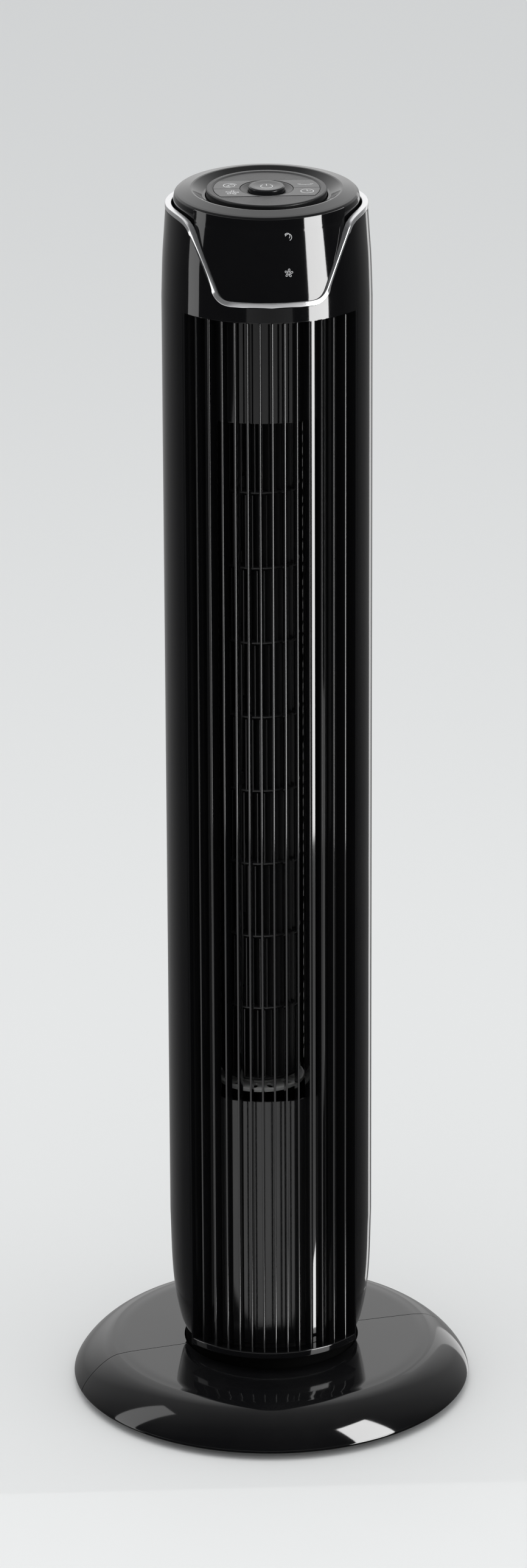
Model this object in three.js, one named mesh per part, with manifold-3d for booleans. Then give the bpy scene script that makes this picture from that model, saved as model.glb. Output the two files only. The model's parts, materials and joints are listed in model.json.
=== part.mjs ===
// Tower fan: a slim round column with a cross-flow impeller, swinging on a round base in two halves.
// Millimetres, +Z up, origin on the floor under the middle of the base. The column's front faces -Y.
import * as THREE from 'three';
import { mergeVertices } from 'three/addons/utils/BufferGeometryUtils.js';
import Module from 'manifold-3d';

const wasm = await Module();
wasm.setup();

// ---- Driving dimensions -------------------------------------------------------------------------
const TURNS = 40; // flats round a large shell
const INNER_TURNS = 24; // flats round a hidden plate
const SMALL_TURNS = 16; // flats round a shaft or a bush
const GAP = 0.3; // clearance between neighbouring pieces

const BASE_R = 147; // widest radius of the base
const BASE_EDGE_Z = 7; // height of the widest line
const BASE_RIM_Z = 33.9; // where the falling shoulder meets the nearly flat top
const BASE_TOP_Z = 34.6; // top of the base at the hub
const BASE_RIM_R = 118;
const BASE_SHOULDER = 1.45; // 1 is an ellipse, 2 a straight slope
const BASE_BOTTOM_R = 131;
const BASE_LIP_R = 112; // inner radius of the flat bottom lip
const BASE_LIP_Z = 2;
const BASE_SKIN = 2.6;
const BASE_TURN = 14.3; // degrees that the base is turned from the column at rest
const FOOT_TURN = 17; // degrees that the feet are turned
const FOOT_COUNT = 10;
const FOOT_R = 123;
const FOOT_SIZE = [20, 13];

const HUB_R = 63.5;
const HUB_FLANGE_R = 74;
const HUB_FLANGE_Z = 27.1; // underside of the flange
const HUB_FLOOR_Z = 23;
const HUB_TOP_Z = 43.5;
const TUBE_R = 10.5;
const TUBE_BORE_R = 8;
const TUBE_TOP_Z = 59;

const CRANK_Y = 34; // crank axis behind the column's axis
const CRANK_ARM = 20.7; // crank axis to pin
const CRANK_REST = 90 + 3 * BASE_TURN; // direction of the arm at rest, degrees
const CRANK_PIN_R = 2;
const SLOT_WIDTH = 8.6;

const BODY_R = 74.3; // outer radius of the column
const BODY_WALL = 2.4;
const BODY_BOTTOM_Z = 46;
const BODY_TOP_Z = 898.85;
const SHELL_SPLIT = 90; // half angle of the front shell, degrees

const GRILLE_HALF_ANGLE = 55; // half angle of the grille opening, degrees
const GRILLE_TOP_Z = 834.6;
const GRILLE_LIP_Z = 52;
const BAR_COUNT = 13;
const BAR_PITCH = 8.76; // across the front, so the bars look evenly spaced
const BAR_THICKNESS = 1.5;
const BAR_INNER_R = 64.5;
const BAR_OUTER_R = 73.8;

const SLOT_ROWS = 9; // intake windows, bottom to top
const SLOT_ROW_PITCH = 62;
const SLOT_ROW_HEIGHT = 56;
const SLOT_FIRST_Z = 232;
const SLOT_COLUMNS = 7;
const SLOT_ANGLE_PITCH = 15;
const SLOT_SLIT = 13;

const TRIM_WIDTH = 3.7;
const TRIM_RING_Z = 901; // middle of the trim round the shoulder
const TRIM_DIP_Z = 847.3; // middle of the trim under the display
const CAP_Z = 912; // height of the control face on the axis
const CAP_TILT = 2.8; // the cap falls to the front, degrees
const CAP_R = 65.4;
const BIB_HALF_WIDTH = 52; // the display bib ends here at the cap's edge
const PANEL_R = 42.5;
const BUTTON_FIELD_R = 37.3;
const POWER_R = 12.7;
const POWER_RING_R = 18.6;
const BUTTON_CHORD = 18; // the button lines, forward and back of the middle
const BUTTON_GAP = 0.35;
const BUTTON_DEPTH = 3.2;

const AXIS_X = -6.5; // impeller axis
const AXIS_Y = 4;
const IMPELLER_R = 29;
const IMPELLER_RING_R = 20; // inner radius of the rings between the blades
const IMPELLER_DISC = 2; // thickness of the end discs
const IMPELLER_Z = 248;
const IMPELLER_STEP = 56;
const IMPELLER_STEPS = 9;
const BLADE_COUNT = 12;
const DUCT_WALL = 1.8;
const DUCT_FACE_R = 61.7; // outside of the duct walls' front faces, behind the grille
const DUCT_FACE_END = 52.5; // where those faces end, degrees from the front
const DUCT_TOP_Z = 842;
const DUCT_BOTTOM_Z = 49.4; // just above the column's floor
const BAFFLE_BOTTOM_Z = 756;
const COVER_TOP_Z = 242.5;
const PLATE_R = 31.8; // motor's top plate and the bearing holder
const PLATE_Z = 240; // underside of the motor's top plate
const PLATE_HOLE_R = 25.5;
const PLATE_HUB_R = 14.4;

// ---- Materials ----------------------------------------------------------------------------------
function finish(color, roughness, metalness = 0) {
  return new THREE.MeshStandardMaterial({ color, roughness, metalness });
}
const glossBlack = () => finish(0x08080a, 0.06);
const satinBlack = () => finish(0x121214, 0.4);
const buttonBlack = () => finish(0x1a1a1c, 0.22);
const palePlastic = () => finish(0xa8a8a6, 0.5);
const chrome = () => finish(0xd8d8da, 0.12, 1);
const steel = () => finish(0x9a9da0, 0.35, 1);
const copper = () => finish(0x8a4a2a, 0.4, 1);
const circuit = () => finish(0x1c3a26, 0.5);
const rubber = () => finish(0x161616, 0.85);

// ---- Solids -------------------------------------------------------------------------------------
const radians = (degrees) => (degrees * Math.PI) / 180;
const upright = new THREE.Matrix4().makeRotationX(Math.PI / 2);
const moved = (x, y, z) => new THREE.Matrix4().makeTranslation(x, y, z);
const turned = (degrees) => new THREE.Matrix4().makeRotationZ(radians(degrees));

function toSolid(geometry, matrix) {
  const bare = geometry.clone();
  bare.deleteAttribute('normal');
  bare.deleteAttribute('uv');
  if (matrix) bare.applyMatrix4(matrix);
  const merged = mergeVertices(bare, 1e-4);
  const triVerts = new Uint32Array(merged.index.array);
  const vertProperties = new Float32Array(merged.attributes.position.array);
  const build = () => new wasm.Manifold(new wasm.Mesh({ numProp: 3, vertProperties, triVerts }));
  const first = build();
  if (first.volume() > 0) return first;
  for (let i = 0; i < triVerts.length; i += 3) {
    [triVerts[i], triVerts[i + 1]] = [triVerts[i + 1], triVerts[i]];
  }
  return build();
}

// A closed outline of [radius, height] points turned about Z.
function turnedSolid(outline, turns = TURNS, x = 0, y = 0) {
  const points = outline.map(([r, z]) => new THREE.Vector2(r, z));
  if (outline[0][0] > 0 || outline[outline.length - 1][0] > 0) points.push(points[0].clone());
  const matrix = moved(x, y, 0).multiply(upright);
  return toSolid(new THREE.LatheGeometry(points, turns), matrix);
}

function ring(inner, outer, low, high, turns = TURNS, x = 0, y = 0) {
  return turnedSolid([[inner, low], [outer, low], [outer, high], [inner, high]], turns, x, y);
}

function disc(radius, low, high, turns = SMALL_TURNS, x = 0, y = 0) {
  return turnedSolid([[0, low], [radius, low], [radius, high], [0, high]], turns, x, y);
}

function prism(points, low, high) {
  const shape = new THREE.Shape(points.map(([x, y]) => new THREE.Vector2(x, y)));
  const geometry = new THREE.ExtrudeGeometry(shape, { depth: high - low, bevelEnabled: false });
  return toSolid(geometry, moved(0, 0, low));
}

// An outline in the XZ plane, extruded along Y from back to front.
function wedgeAlongY(points, front, back) {
  const shape = new THREE.Shape(points.map(([x, z]) => new THREE.Vector2(x, z)));
  const geometry = new THREE.ExtrudeGeometry(shape, { depth: back - front, bevelEnabled: false });
  return toSolid(geometry, moved(0, back, 0).multiply(upright));
}

function block(x, y, z, sizeX, sizeY, sizeZ, degrees = 0) {
  const matrix = turned(degrees).multiply(moved(x, y, z));
  return toSolid(new THREE.BoxGeometry(sizeX, sizeY, sizeZ), matrix);
}

// A sector seen from above, from one angle to another; 0 is the front (-Y), positive is towards +X.
function sector(from, to, radius, low, high) {
  const points = [[0, 0]];
  const steps = Math.max(2, Math.ceil((to - from) / 30));
  for (let i = 0; i <= steps; i += 1) {
    const angle = radians(from + ((to - from) * i) / steps);
    points.push([radius * Math.sin(angle), -radius * Math.cos(angle)]);
  }
  return prism(points, low, high);
}

function joinAll(solids) {
  return solids.reduce((sum, solid) => sum.add(solid));
}

const fan = new THREE.Group();
const capGroup = new THREE.Group();
capGroup.position.set(0, 0, CAP_Z);
capGroup.rotation.x = radians(CAP_TILT);
fan.add(capGroup);

function place(name, solid, material, parent = fan) {
  const { vertProperties, triVerts } = solid.getMesh();
  const geometry = new THREE.BufferGeometry();
  geometry.setAttribute('position', new THREE.BufferAttribute(new Float32Array(vertProperties), 3));
  geometry.setIndex(new THREE.BufferAttribute(new Uint32Array(triVerts), 1));
  const mesh = new THREE.Mesh(geometry, material);
  mesh.name = name;
  parent.add(mesh);
  return mesh;
}

// ---- Base ---------------------------------------------------------------------------------------
// Points along part of an ellipse; a power over 1 draws it in towards a straight slope.
function ellipsePoints(centreR, centreZ, radiusR, radiusZ, from, to, steps, power = 1) {
  const drawnIn = (value) => Math.sign(value) * Math.abs(value) ** power;
  const points = [];
  for (let i = 0; i <= steps; i += 1) {
    const angle = radians(from + ((to - from) * i) / steps);
    points.push([centreR + radiusR * drawnIn(Math.cos(angle)), centreZ + radiusZ * drawnIn(Math.sin(angle))]);
  }
  return points;
}

function baseShell() {
  const rise = BASE_RIM_Z - BASE_EDGE_Z;
  const wide = BASE_R - BASE_RIM_R;
  const under = BASE_R - BASE_BOTTOM_R;
  const drop = BASE_EDGE_Z - BASE_LIP_Z;
  const outline = [
    ...ellipsePoints(BASE_BOTTOM_R, BASE_EDGE_Z, under, drop, -90, 0, 3),
    ...ellipsePoints(BASE_RIM_R, BASE_EDGE_Z, wide, rise, 18, 90, 4, BASE_SHOULDER),
    [HUB_R + 0.7, BASE_TOP_Z],
    [HUB_R + 0.7, BASE_TOP_Z - BASE_SKIN - 1],
    [BASE_RIM_R - 1, BASE_RIM_Z - BASE_SKIN],
    [BASE_RIM_R + 0.53 * wide, BASE_EDGE_Z + 0.53 * rise],
    [BASE_R - BASE_SKIN, BASE_EDGE_Z],
    [BASE_BOTTOM_R, BASE_LIP_Z + BASE_SKIN],
    [BASE_LIP_R, BASE_LIP_Z + BASE_SKIN],
    [BASE_LIP_R, BASE_LIP_Z],
  ];
  return turnedSolid(outline);
}

const screwAngles = [45, 135, 225, 315].map((angle) => angle + BASE_TURN);
const screwPitchR = 69.2;
const bushAngle = 90 + BASE_TURN;
const bushZ = 12;

function radialRod(radius, from, to, degrees, z) {
  const rod = new THREE.CylinderGeometry(radius, radius, to - from, SMALL_TURNS);
  const alongY = moved(0, (from + to) / 2, z);
  return toSolid(rod, turned(degrees - 90).multiply(alongY));
}

function buildBase() {
  let shell = baseShell();
  for (const angle of screwAngles) {
    const spot = turned(angle).multiply(moved(screwPitchR, 0, HUB_FLANGE_Z + 4.5));
    shell = shell.subtract(toSolid(new THREE.CylinderGeometry(2.1, 2.1, 4.4, 12).rotateX(Math.PI / 2), spot));
  }
  shell = shell.subtract(radialRod(5.3, 120, 160, bushAngle, bushZ));
  const frontSide = block(0, -100 - GAP / 2, 20, 400, 200, 60, BASE_TURN);
  const rearSide = block(0, 100 + GAP / 2, 20, 400, 200, 60, BASE_TURN);
  place('base_front_half', shell.intersect(frontSide), glossBlack());
  place('base_rear_half', shell.intersect(rearSide), glossBlack());

  const bushOutline = [[3.4, 130.5], [6.2, 130.5], [6.2, 133], [5, 133], [5, 144], [3.4, 144], [3.4, 130.5]];
  const bushPoints = bushOutline.map(([r, along]) => new THREE.Vector2(r, along));
  const outward = turned(bushAngle - 90).multiply(moved(0, 0, bushZ));
  place('cord_bush', toSolid(new THREE.LatheGeometry(bushPoints, SMALL_TURNS), outward), rubber());

  for (let i = 0; i < FOOT_COUNT; i += 1) {
    const angle = -90 + FOOT_TURN + (360 / FOOT_COUNT) * i;
    const height = BASE_LIP_Z - GAP;
    const pad = block(FOOT_R, 0, height / 2, FOOT_SIZE[1], FOOT_SIZE[0], height, angle);
    place(`foot_${i + 1}`, pad, rubber());
  }
}

function buildHub() {
  let hub = turnedSolid([
    [TUBE_BORE_R, HUB_FLOOR_Z], [HUB_R, HUB_FLOOR_Z], [HUB_R, HUB_FLANGE_Z], [HUB_FLANGE_R, HUB_FLANGE_Z],
    [HUB_FLANGE_R, HUB_FLANGE_Z + 3], [HUB_R, HUB_FLANGE_Z + 3],
    [HUB_R, HUB_TOP_Z], [HUB_R - 4.5, HUB_TOP_Z], [HUB_R - 4.5, 29.7], [TUBE_R + 2, 29.7],
    [TUBE_R, 31], [TUBE_R, TUBE_TOP_Z], [TUBE_BORE_R, TUBE_TOP_Z],
  ]);
  screwAngles.forEach((angle, index) => {
    const spot = (z) => turned(angle).multiply(moved(screwPitchR, 0, z));
    const rod = (r, height) => new THREE.CylinderGeometry(r, r, height, 12).rotateX(Math.PI / 2);
    hub = hub.subtract(toSolid(rod(2.2, 8), spot(HUB_FLANGE_Z + 2)));
    const shank = toSolid(rod(1.8, 6.4), spot(HUB_FLANGE_Z + 2.8));
    const screw = shank.add(toSolid(rod(3.8, 2.2), spot(HUB_FLANGE_Z - 1.4)));
    place(`hub_screw_${index + 1}`, screw, steel());
  });
  place('pivot_hub', hub, satinBlack());

  const slotMiddle = 43.5;
  const slot = block(slotMiddle, 0, 31.5, 27.6, SLOT_WIDTH, 10, 90 + BASE_TURN);
  const guide = ring(TUBE_R + 2.5, HUB_R - 5, 30.1, 33.1, INNER_TURNS).subtract(slot);
  place('swing_guide', guide, palePlastic());
  place('slide_ring', ring(57.5, 61.6, HUB_TOP_Z + GAP, BODY_BOTTOM_Z - GAP, INNER_TURNS), palePlastic());
  place('retainer_clip', ring(TUBE_R + 0.4, 16, 54.6, 56.4, INNER_TURNS), steel());
}

// ---- Swing drive --------------------------------------------------------------------------------
function buildSwingDrive() {
  const arm = block(CRANK_ARM / 2, 0, 37.5, CRANK_ARM, 8, 3);
  const pin = disc(CRANK_PIN_R, 30.8, 38.5, 12, CRANK_ARM, 0);
  const boss = disc(6.5, 36, 43, SMALL_TURNS);
  const bore = disc(3.8, 30, 50, 12);
  const tip = disc(3.6, 36, 39, 12, CRANK_ARM, 0);
  const crank = place('swing_crank', joinAll([arm, pin, boss, tip]).subtract(bore), palePlastic());
  crank.position.set(0, CRANK_Y, 0);
  crank.rotation.z = radians(CRANK_REST);
  place('crank_shaft', disc(3.4, 37, 58, 12, 0, CRANK_Y), steel());

  const motorY = 40;
  const can = disc(20.4, 49.4, 66, INNER_TURNS, 0, motorY);
  place('swing_motor', can.subtract(disc(4.2, 40, 60, 12, 0, CRANK_Y)), steel());
}

// ---- Column shells ------------------------------------------------------------------------------
// Outer outline of the column from bottom to top. The sides draw in at the foot and at the shoulder.
const bodyOutline = [
  [64.5, 46], [67.4, 54], [71.2, 74], [73.2, 98], [BODY_R, 137],
  [BODY_R, 835], [73.4, 863], [72.2, 881], [71, 898.85], [70.8, 903],
];

function bodyRadius(z) {
  const next = bodyOutline.findIndex((point) => point[1] >= z);
  if (next <= 0) return bodyOutline[next === 0 ? 0 : bodyOutline.length - 1][0];
  const [r0, z0] = bodyOutline[next - 1];
  const [r1, z1] = bodyOutline[next];
  return r0 + ((r1 - r0) * (z - z0)) / (z1 - z0);
}

function columnShell() {
  const outer = bodyOutline.slice(0, -1);
  const inner = [98, 137, 835, 881].map((z) => [bodyRadius(z) - BODY_WALL, z]);
  const foot = [[64.5 - BODY_WALL, 46], [71.2 - BODY_WALL - 0.4, 74]];
  const head = [[71 - BODY_WALL, BODY_TOP_Z]];
  return turnedSolid([...outer, ...[...foot, ...inner, ...head].reverse()]);
}

// Middle line of the trim seen from the front: from the left shoulder, under the display, to the right.
function trimLine(offset) {
  const path = new THREE.Path();
  path.moveTo(-78, TRIM_RING_Z);
  path.lineTo(-66, TRIM_RING_Z);
  path.quadraticCurveTo(-56.5, 900, -54, 893);
  path.lineTo(-38.8, 855);
  path.quadraticCurveTo(-35.7, TRIM_DIP_Z, -28, TRIM_DIP_Z);
  path.lineTo(28, TRIM_DIP_Z);
  path.quadraticCurveTo(35.7, TRIM_DIP_Z, 38.8, 855);
  path.lineTo(54, 893);
  path.quadraticCurveTo(56.5, 900, 66, TRIM_RING_Z);
  path.lineTo(78, TRIM_RING_Z);
  const line = path.getPoints(4);
  return line.map((point, index) => {
    const before = line[Math.max(index - 1, 0)];
    const after = line[Math.min(index + 1, line.length - 1)];
    const along = new THREE.Vector2().subVectors(after, before).normalize();
    return [point.x + along.y * offset, point.y - along.x * offset];
  });
}

// Everything above the trim line, as a solid reaching from the column's middle to its front.
function aboveTrim(offset) {
  return wedgeAlongY([...trimLine(offset), [78, 930], [-78, 930]], -90, 0);
}

function buildShells() {
  const shell = columnShell();
  const front = sector(-SHELL_SPLIT, SHELL_SPLIT, 200, 0, 1000);
  const opening = sector(-GRILLE_HALF_ANGLE - 0.3, GRILLE_HALF_ANGLE + 0.3, 200, 0, GRILLE_TOP_Z + GAP);
  const notch = aboveTrim(TRIM_WIDTH / 2 + GAP);
  place('front_shell', shell.intersect(front).subtract(opening).subtract(notch), glossBlack());

  const rear = sector(SHELL_SPLIT + 0.3, 360 - SHELL_SPLIT - 0.3, 200, 0, 1000);
  let housing = shell.intersect(rear);
  for (let column = 0; column < SLOT_COLUMNS; column += 1) {
    const angle = 90 + (column - (SLOT_COLUMNS - 1) / 2) * SLOT_ANGLE_PITCH;
    for (let row = 0; row < SLOT_ROWS; row += 1) {
      const z = SLOT_FIRST_Z + row * SLOT_ROW_PITCH + SLOT_ROW_HEIGHT / 2;
      housing = housing.subtract(block(BODY_R, 0, z, 12, SLOT_SLIT, SLOT_ROW_HEIGHT, angle));
    }
  }
  let count = 0;
  for (const z of [160, 860]) {
    for (const side of [-1, 1]) {
      count += 1;
      const angle = 90 + side * 32;
      housing = housing.subtract(radialRod(2.1, 60, 90, angle, z));
      const screw = radialRod(1.7, 62, 75, angle, z).intersect(disc(BODY_R - 0.6, z - 9, z + 9, TURNS));
      place(`housing_screw_${count}`, screw, steel());
    }
  }
  place('rear_housing', housing, satinBlack());
}

function buildGrille() {
  const wedge = sector(-GRILLE_HALF_ANGLE, GRILLE_HALF_ANGLE, 200, 0, 1000);
  const inside = sector(-GRILLE_HALF_ANGLE + 1.4, GRILLE_HALF_ANGLE - 1.4, 200, 0, 1000);
  const sides = ring(62, BODY_R, BODY_BOTTOM_Z, GRILLE_TOP_Z).intersect(wedge).subtract(inside);
  const lip = ring(62.3, BODY_R, BODY_BOTTOM_Z - 1, GRILLE_LIP_Z).intersect(wedge);
  const rail = ring(62, 71.2, GRILLE_TOP_Z - 1, GRILLE_TOP_Z + 8).intersect(wedge);
  const bars = [];
  for (let i = 0; i < BAR_COUNT; i += 1) {
    const x = (i - (BAR_COUNT - 1) / 2) * BAR_PITCH;
    const angle = (Math.asin(x / BAR_OUTER_R) * 180) / Math.PI;
    const middle = (BAR_INNER_R + BAR_OUTER_R) / 2;
    const height = GRILLE_TOP_Z - BODY_BOTTOM_Z - 2;
    const z = GRILLE_TOP_Z - height / 2;
    bars.push(block(middle, 0, z, BAR_OUTER_R - BAR_INNER_R, BAR_THICKNESS, height, angle - 90));
  }
  place('front_grille', joinAll([sides, lip, rail, ...bars]), glossBlack());
}

// ---- Top ----------------------------------------------------------------------------------------
// The display bib: outer radius falls from the trim up to the cap's edge.
const bibOutline = [[73.5, 847], [72.6, 856], [67.2, 893], [66, 899], [65.4, 906], [64.9, 912]];

function buildTop() {
  const halfWidth = TRIM_WIDTH / 2;
  const reach = bodyOutline.slice(4).map(([r, z]) => [r + 0.25, z]);
  const trimBody = turnedSolid([...reach, [66.2, 903], [66.2, 899], [68.4, 880], [70.6, 855], [70.8, 835]]);
  const band = trimBody.intersect(aboveTrim(halfWidth).subtract(aboveTrim(-halfWidth)));
  const halfRing = ring(66.2, 71.1, TRIM_RING_Z - halfWidth, TRIM_RING_Z + halfWidth);
  place('chrome_trim', band.add(halfRing.intersect(block(0, 100, 900, 400, 200, 60))), chrome());

  const capTilt = new THREE.Matrix4().makeRotationX(radians(CAP_TILT));
  const tilted = (matrix) => moved(0, 0, CAP_Z).multiply(capTilt).multiply(matrix);
  const belowEdge = toSolid(new THREE.BoxGeometry(400, 400, 200), tilted(moved(0, 0, -102.6)));
  const inner = bibOutline.map(([r, z]) => [r - 2.2, z]).reverse();
  const bib = turnedSolid([...bibOutline, ...inner]);
  const window = bib.intersect(aboveTrim(-halfWidth - GAP)).intersect(belowEdge);
  place('display_window', window.intersect(block(0, -60, 880, 2 * BIB_HALF_WIDTH, 100, 100)), glossBlack());

  const capBody = turnedSolid([
    [65.1, -14], [CAP_R, -6], [64.7, -3], [63.2, -1.6], [61.5, -1.1], [53.4, 0.7], [52.2, 0.5],
    [45, -4.6], [43.1, -4.6], [43.1, -7.4], [47, -7.4], [54, -2.2], [61.5, -3.6], [62.8, -6],
    [62.8, -14],
  ]);
  const bibRoom = aboveTrim(-halfWidth + 0.2).intersect(belowEdge.translate([0, 0, 0.3]));
  const unTilt = tilted(new THREE.Matrix4()).invert();
  const roomWidth = 2 * (BIB_HALF_WIDTH + GAP);
  const roomForBib = bibRoom.intersect(block(0, -60, 880, roomWidth, 100.6, 100)).transform(unTilt.elements);
  const wallOnly = ring(62.9, 80, -40, 10);
  place('top_cap', capBody.subtract(roomForBib.intersect(wallOnly)), glossBlack(), capGroup);

  place('display_board', block(0, -57, 874, 50, 1.6, 34), circuit());
}

function buttonRegion(side, rear) {
  const low = rear ? BUTTON_GAP / 2 : -BUTTON_CHORD;
  const high = rear ? BUTTON_CHORD : -BUTTON_GAP / 2;
  const middle = block(side * 30, (low + high) / 2, 0, 60, high - low, 40);
  return ring(POWER_RING_R + BUTTON_GAP, BUTTON_FIELD_R, -BUTTON_DEPTH, 0).intersect(middle);
}

// Round stems under the buttons, at the middle of each.
const buttonPlaces = {
  button_mode: [-27, 9.4, -1, true],
  button_speed: [-27, -9.4, -1, false],
  button_swing: [27, 9.4, 1, true],
  button_timer: [27, -9.4, 1, false],
};

function buildPanel() {
  const stemR = 2.4;
  let panel = turnedSolid([
    [0, -7], [PANEL_R, -7], [PANEL_R, -0.3], [41.5, 0.5], [39, 0.5], [BUTTON_FIELD_R + 0.3, -0.2], [0, -0.2],
  ]);
  let board = disc(40, -11.6, -10, TURNS);
  for (const [name, [x, y, side, rear]] of Object.entries(buttonPlaces)) {
    const key = buttonRegion(side, rear);
    const well = ring(POWER_RING_R, BUTTON_FIELD_R + BUTTON_GAP, -5.4, 5);
    const low = rear ? -0.01 : -BUTTON_CHORD - BUTTON_GAP;
    const high = rear ? BUTTON_CHORD + BUTTON_GAP : 0.01;
    panel = panel.subtract(well.intersect(block(side * 30, (low + high) / 2, 0, 60.02, high - low, 40)));
    panel = panel.subtract(disc(stemR + 0.5, -20, 0, 12, x, y));
    place(name, key.add(disc(stemR, -8.3, -1, 12, x, y)), buttonBlack(), capGroup);
    board = board.add(disc(2, -10.5, -9.6, 8, x, y));
  }
  const powerRecess = turnedSolid([
    [0, -5.4], [POWER_R + 0.4, -5.4], [POWER_R + 0.4, -1.8], [POWER_RING_R - 1.2, -0.2], [POWER_RING_R - 1.2, 5],
    [0, 5],
  ]);
  panel = panel.subtract(powerRecess).subtract(disc(stemR + 0.5, -20, 0, 12));
  place('control_disc', panel, satinBlack(), capGroup);
  const power = turnedSolid([
    [0, -3.4], [POWER_R, -3.4], [POWER_R, 1.2], [POWER_R - 0.9, 2.1], [POWER_R - 2.6, 2.1], [0, 1.7],
  ]);
  place('button_power', power.add(disc(stemR, -8.3, -1, 12)), buttonBlack(), capGroup);
  place('control_board', board.add(disc(2, -10.5, -9.6, 8)), circuit(), capGroup);
}

// ---- Air duct and impeller ----------------------------------------------------------------------
// A wall of even thickness along a smooth line seen from above.
function ductWall(points, thickness, low, high, divisions) {
  const curve = new THREE.CatmullRomCurve3(points.map(([x, y]) => new THREE.Vector3(x, y, 0)));
  const line = curve.getPoints(divisions);
  const side = (sign) => line.map((point, index) => {
    const tangent = curve.getTangent(index / divisions);
    return [point.x - tangent.y * sign * (thickness / 2), point.y + tangent.x * sign * (thickness / 2)];
  });
  return prism([...side(1), ...side(-1).reverse()], low, high);
}

// The front face of a duct wall: a strip of a tube round the column's axis.
function ductFace(from, to) {
  const tube = ring(DUCT_FACE_R - DUCT_WALL, DUCT_FACE_R, DUCT_BOTTOM_Z, DUCT_TOP_Z);
  return tube.intersect(sector(from, to, 200, 0, 1000));
}

function buildDuct() {
  const scroll = [[-26, 36.5], [-37.5, 24], [-42.8, 5], [-42.9, -20], [-42.6, -43]];
  const tongue = [[58.5, 16.2], [45, 9], [33, 0], [25.5, -8], [27, -22], [27.9, -38], [27.9, -53.8]];
  const panelLine = [[-39.5, -38], [-33, -44.5], [-20, -49.5], [-5, -51.5], [12, -50.5], [24.6, -46.5]];
  const wall = (line) => ductWall(line, DUCT_WALL, DUCT_BOTTOM_Z, DUCT_TOP_Z, 14);
  const panel = (low, high) => ductWall(panelLine, DUCT_WALL, low, high, 10);
  place('scroll_wall', wall(scroll).add(ductFace(-DUCT_FACE_END, -43.5)), glossBlack());
  place('stabiliser_wall', wall(tongue).add(ductFace(26.5, DUCT_FACE_END)), glossBlack());
  place('upper_baffle', panel(BAFFLE_BOTTOM_Z, DUCT_TOP_Z), glossBlack());
  place('motor_cover', panel(DUCT_BOTTOM_Z, COVER_TOP_Z), glossBlack());

  const holder = turnedSolid([
    [8.4, 757], [PLATE_R, 757], [PLATE_R, 760], [11, 760], [11, 769], [8.4, 769],
  ], INNER_TURNS, AXIS_X, AXIS_Y);
  place('bearing_holder', holder, satinBlack());
  place('upper_bearing', ring(3.3, 8, 758, 768, SMALL_TURNS, AXIS_X, AXIS_Y), steel());

  let plate = ring(PLATE_HUB_R, PLATE_R, PLATE_Z, PLATE_Z + 2.6, INNER_TURNS, AXIS_X, AXIS_Y);
  for (const angle of [-17, 17, 103, 137, 223, 257]) {
    const hole = new THREE.CylinderGeometry(3.5, 3.5, 12, 8).rotateX(Math.PI / 2);
    const spot = moved(AXIS_X, AXIS_Y, PLATE_Z).multiply(turned(angle)).multiply(moved(PLATE_HOLE_R, 0, 0));
    plate = plate.subtract(toSolid(hole, spot));
  }
  place('motor_top_plate', plate, palePlastic());
}

function buildImpeller() {
  const top = IMPELLER_Z + IMPELLER_STEP * IMPELLER_STEPS;
  const parts = [turnedSolid([
    [3.4, IMPELLER_Z], [IMPELLER_R, IMPELLER_Z], [IMPELLER_R, IMPELLER_Z + IMPELLER_DISC],
    [8, IMPELLER_Z + IMPELLER_DISC], [7, IMPELLER_Z + 14], [3.4, IMPELLER_Z + 14],
  ], INNER_TURNS)];
  parts.push(ring(3.4, IMPELLER_R, top - IMPELLER_DISC, top, INNER_TURNS));
  for (let i = 1; i < IMPELLER_STEPS; i += 1) {
    const z = IMPELLER_Z + IMPELLER_STEP * i;
    parts.push(ring(IMPELLER_RING_R, IMPELLER_R, z - 0.8, z + 0.8, INNER_TURNS));
  }
  for (let i = 0; i < BLADE_COUNT; i += 1) {
    const height = top - IMPELLER_Z - IMPELLER_DISC;
    const middle = moved((IMPELLER_R + IMPELLER_RING_R) / 2, 0, (IMPELLER_Z + top) / 2);
    const spot = turned((360 / BLADE_COUNT) * i).multiply(middle).multiply(turned(38));
    parts.push(toSolid(new THREE.BoxGeometry(6.6, 1, height), spot));
  }
  place('impeller', joinAll(parts).translate([AXIS_X, AXIS_Y, 0]), satinBlack());
  place('upper_pin', disc(3, top - IMPELLER_DISC + 0.1, 767, SMALL_TURNS, AXIS_X, AXIS_Y), steel());
  const rotor = turnedSolid([
    [0, 112], [3, 112], [3, 138], [15, 138], [15, 177], [3, 177], [3, 261], [0, 261],
  ], SMALL_TURNS, AXIS_X, AXIS_Y);
  place('motor_rotor', rotor, steel());
}

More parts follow.
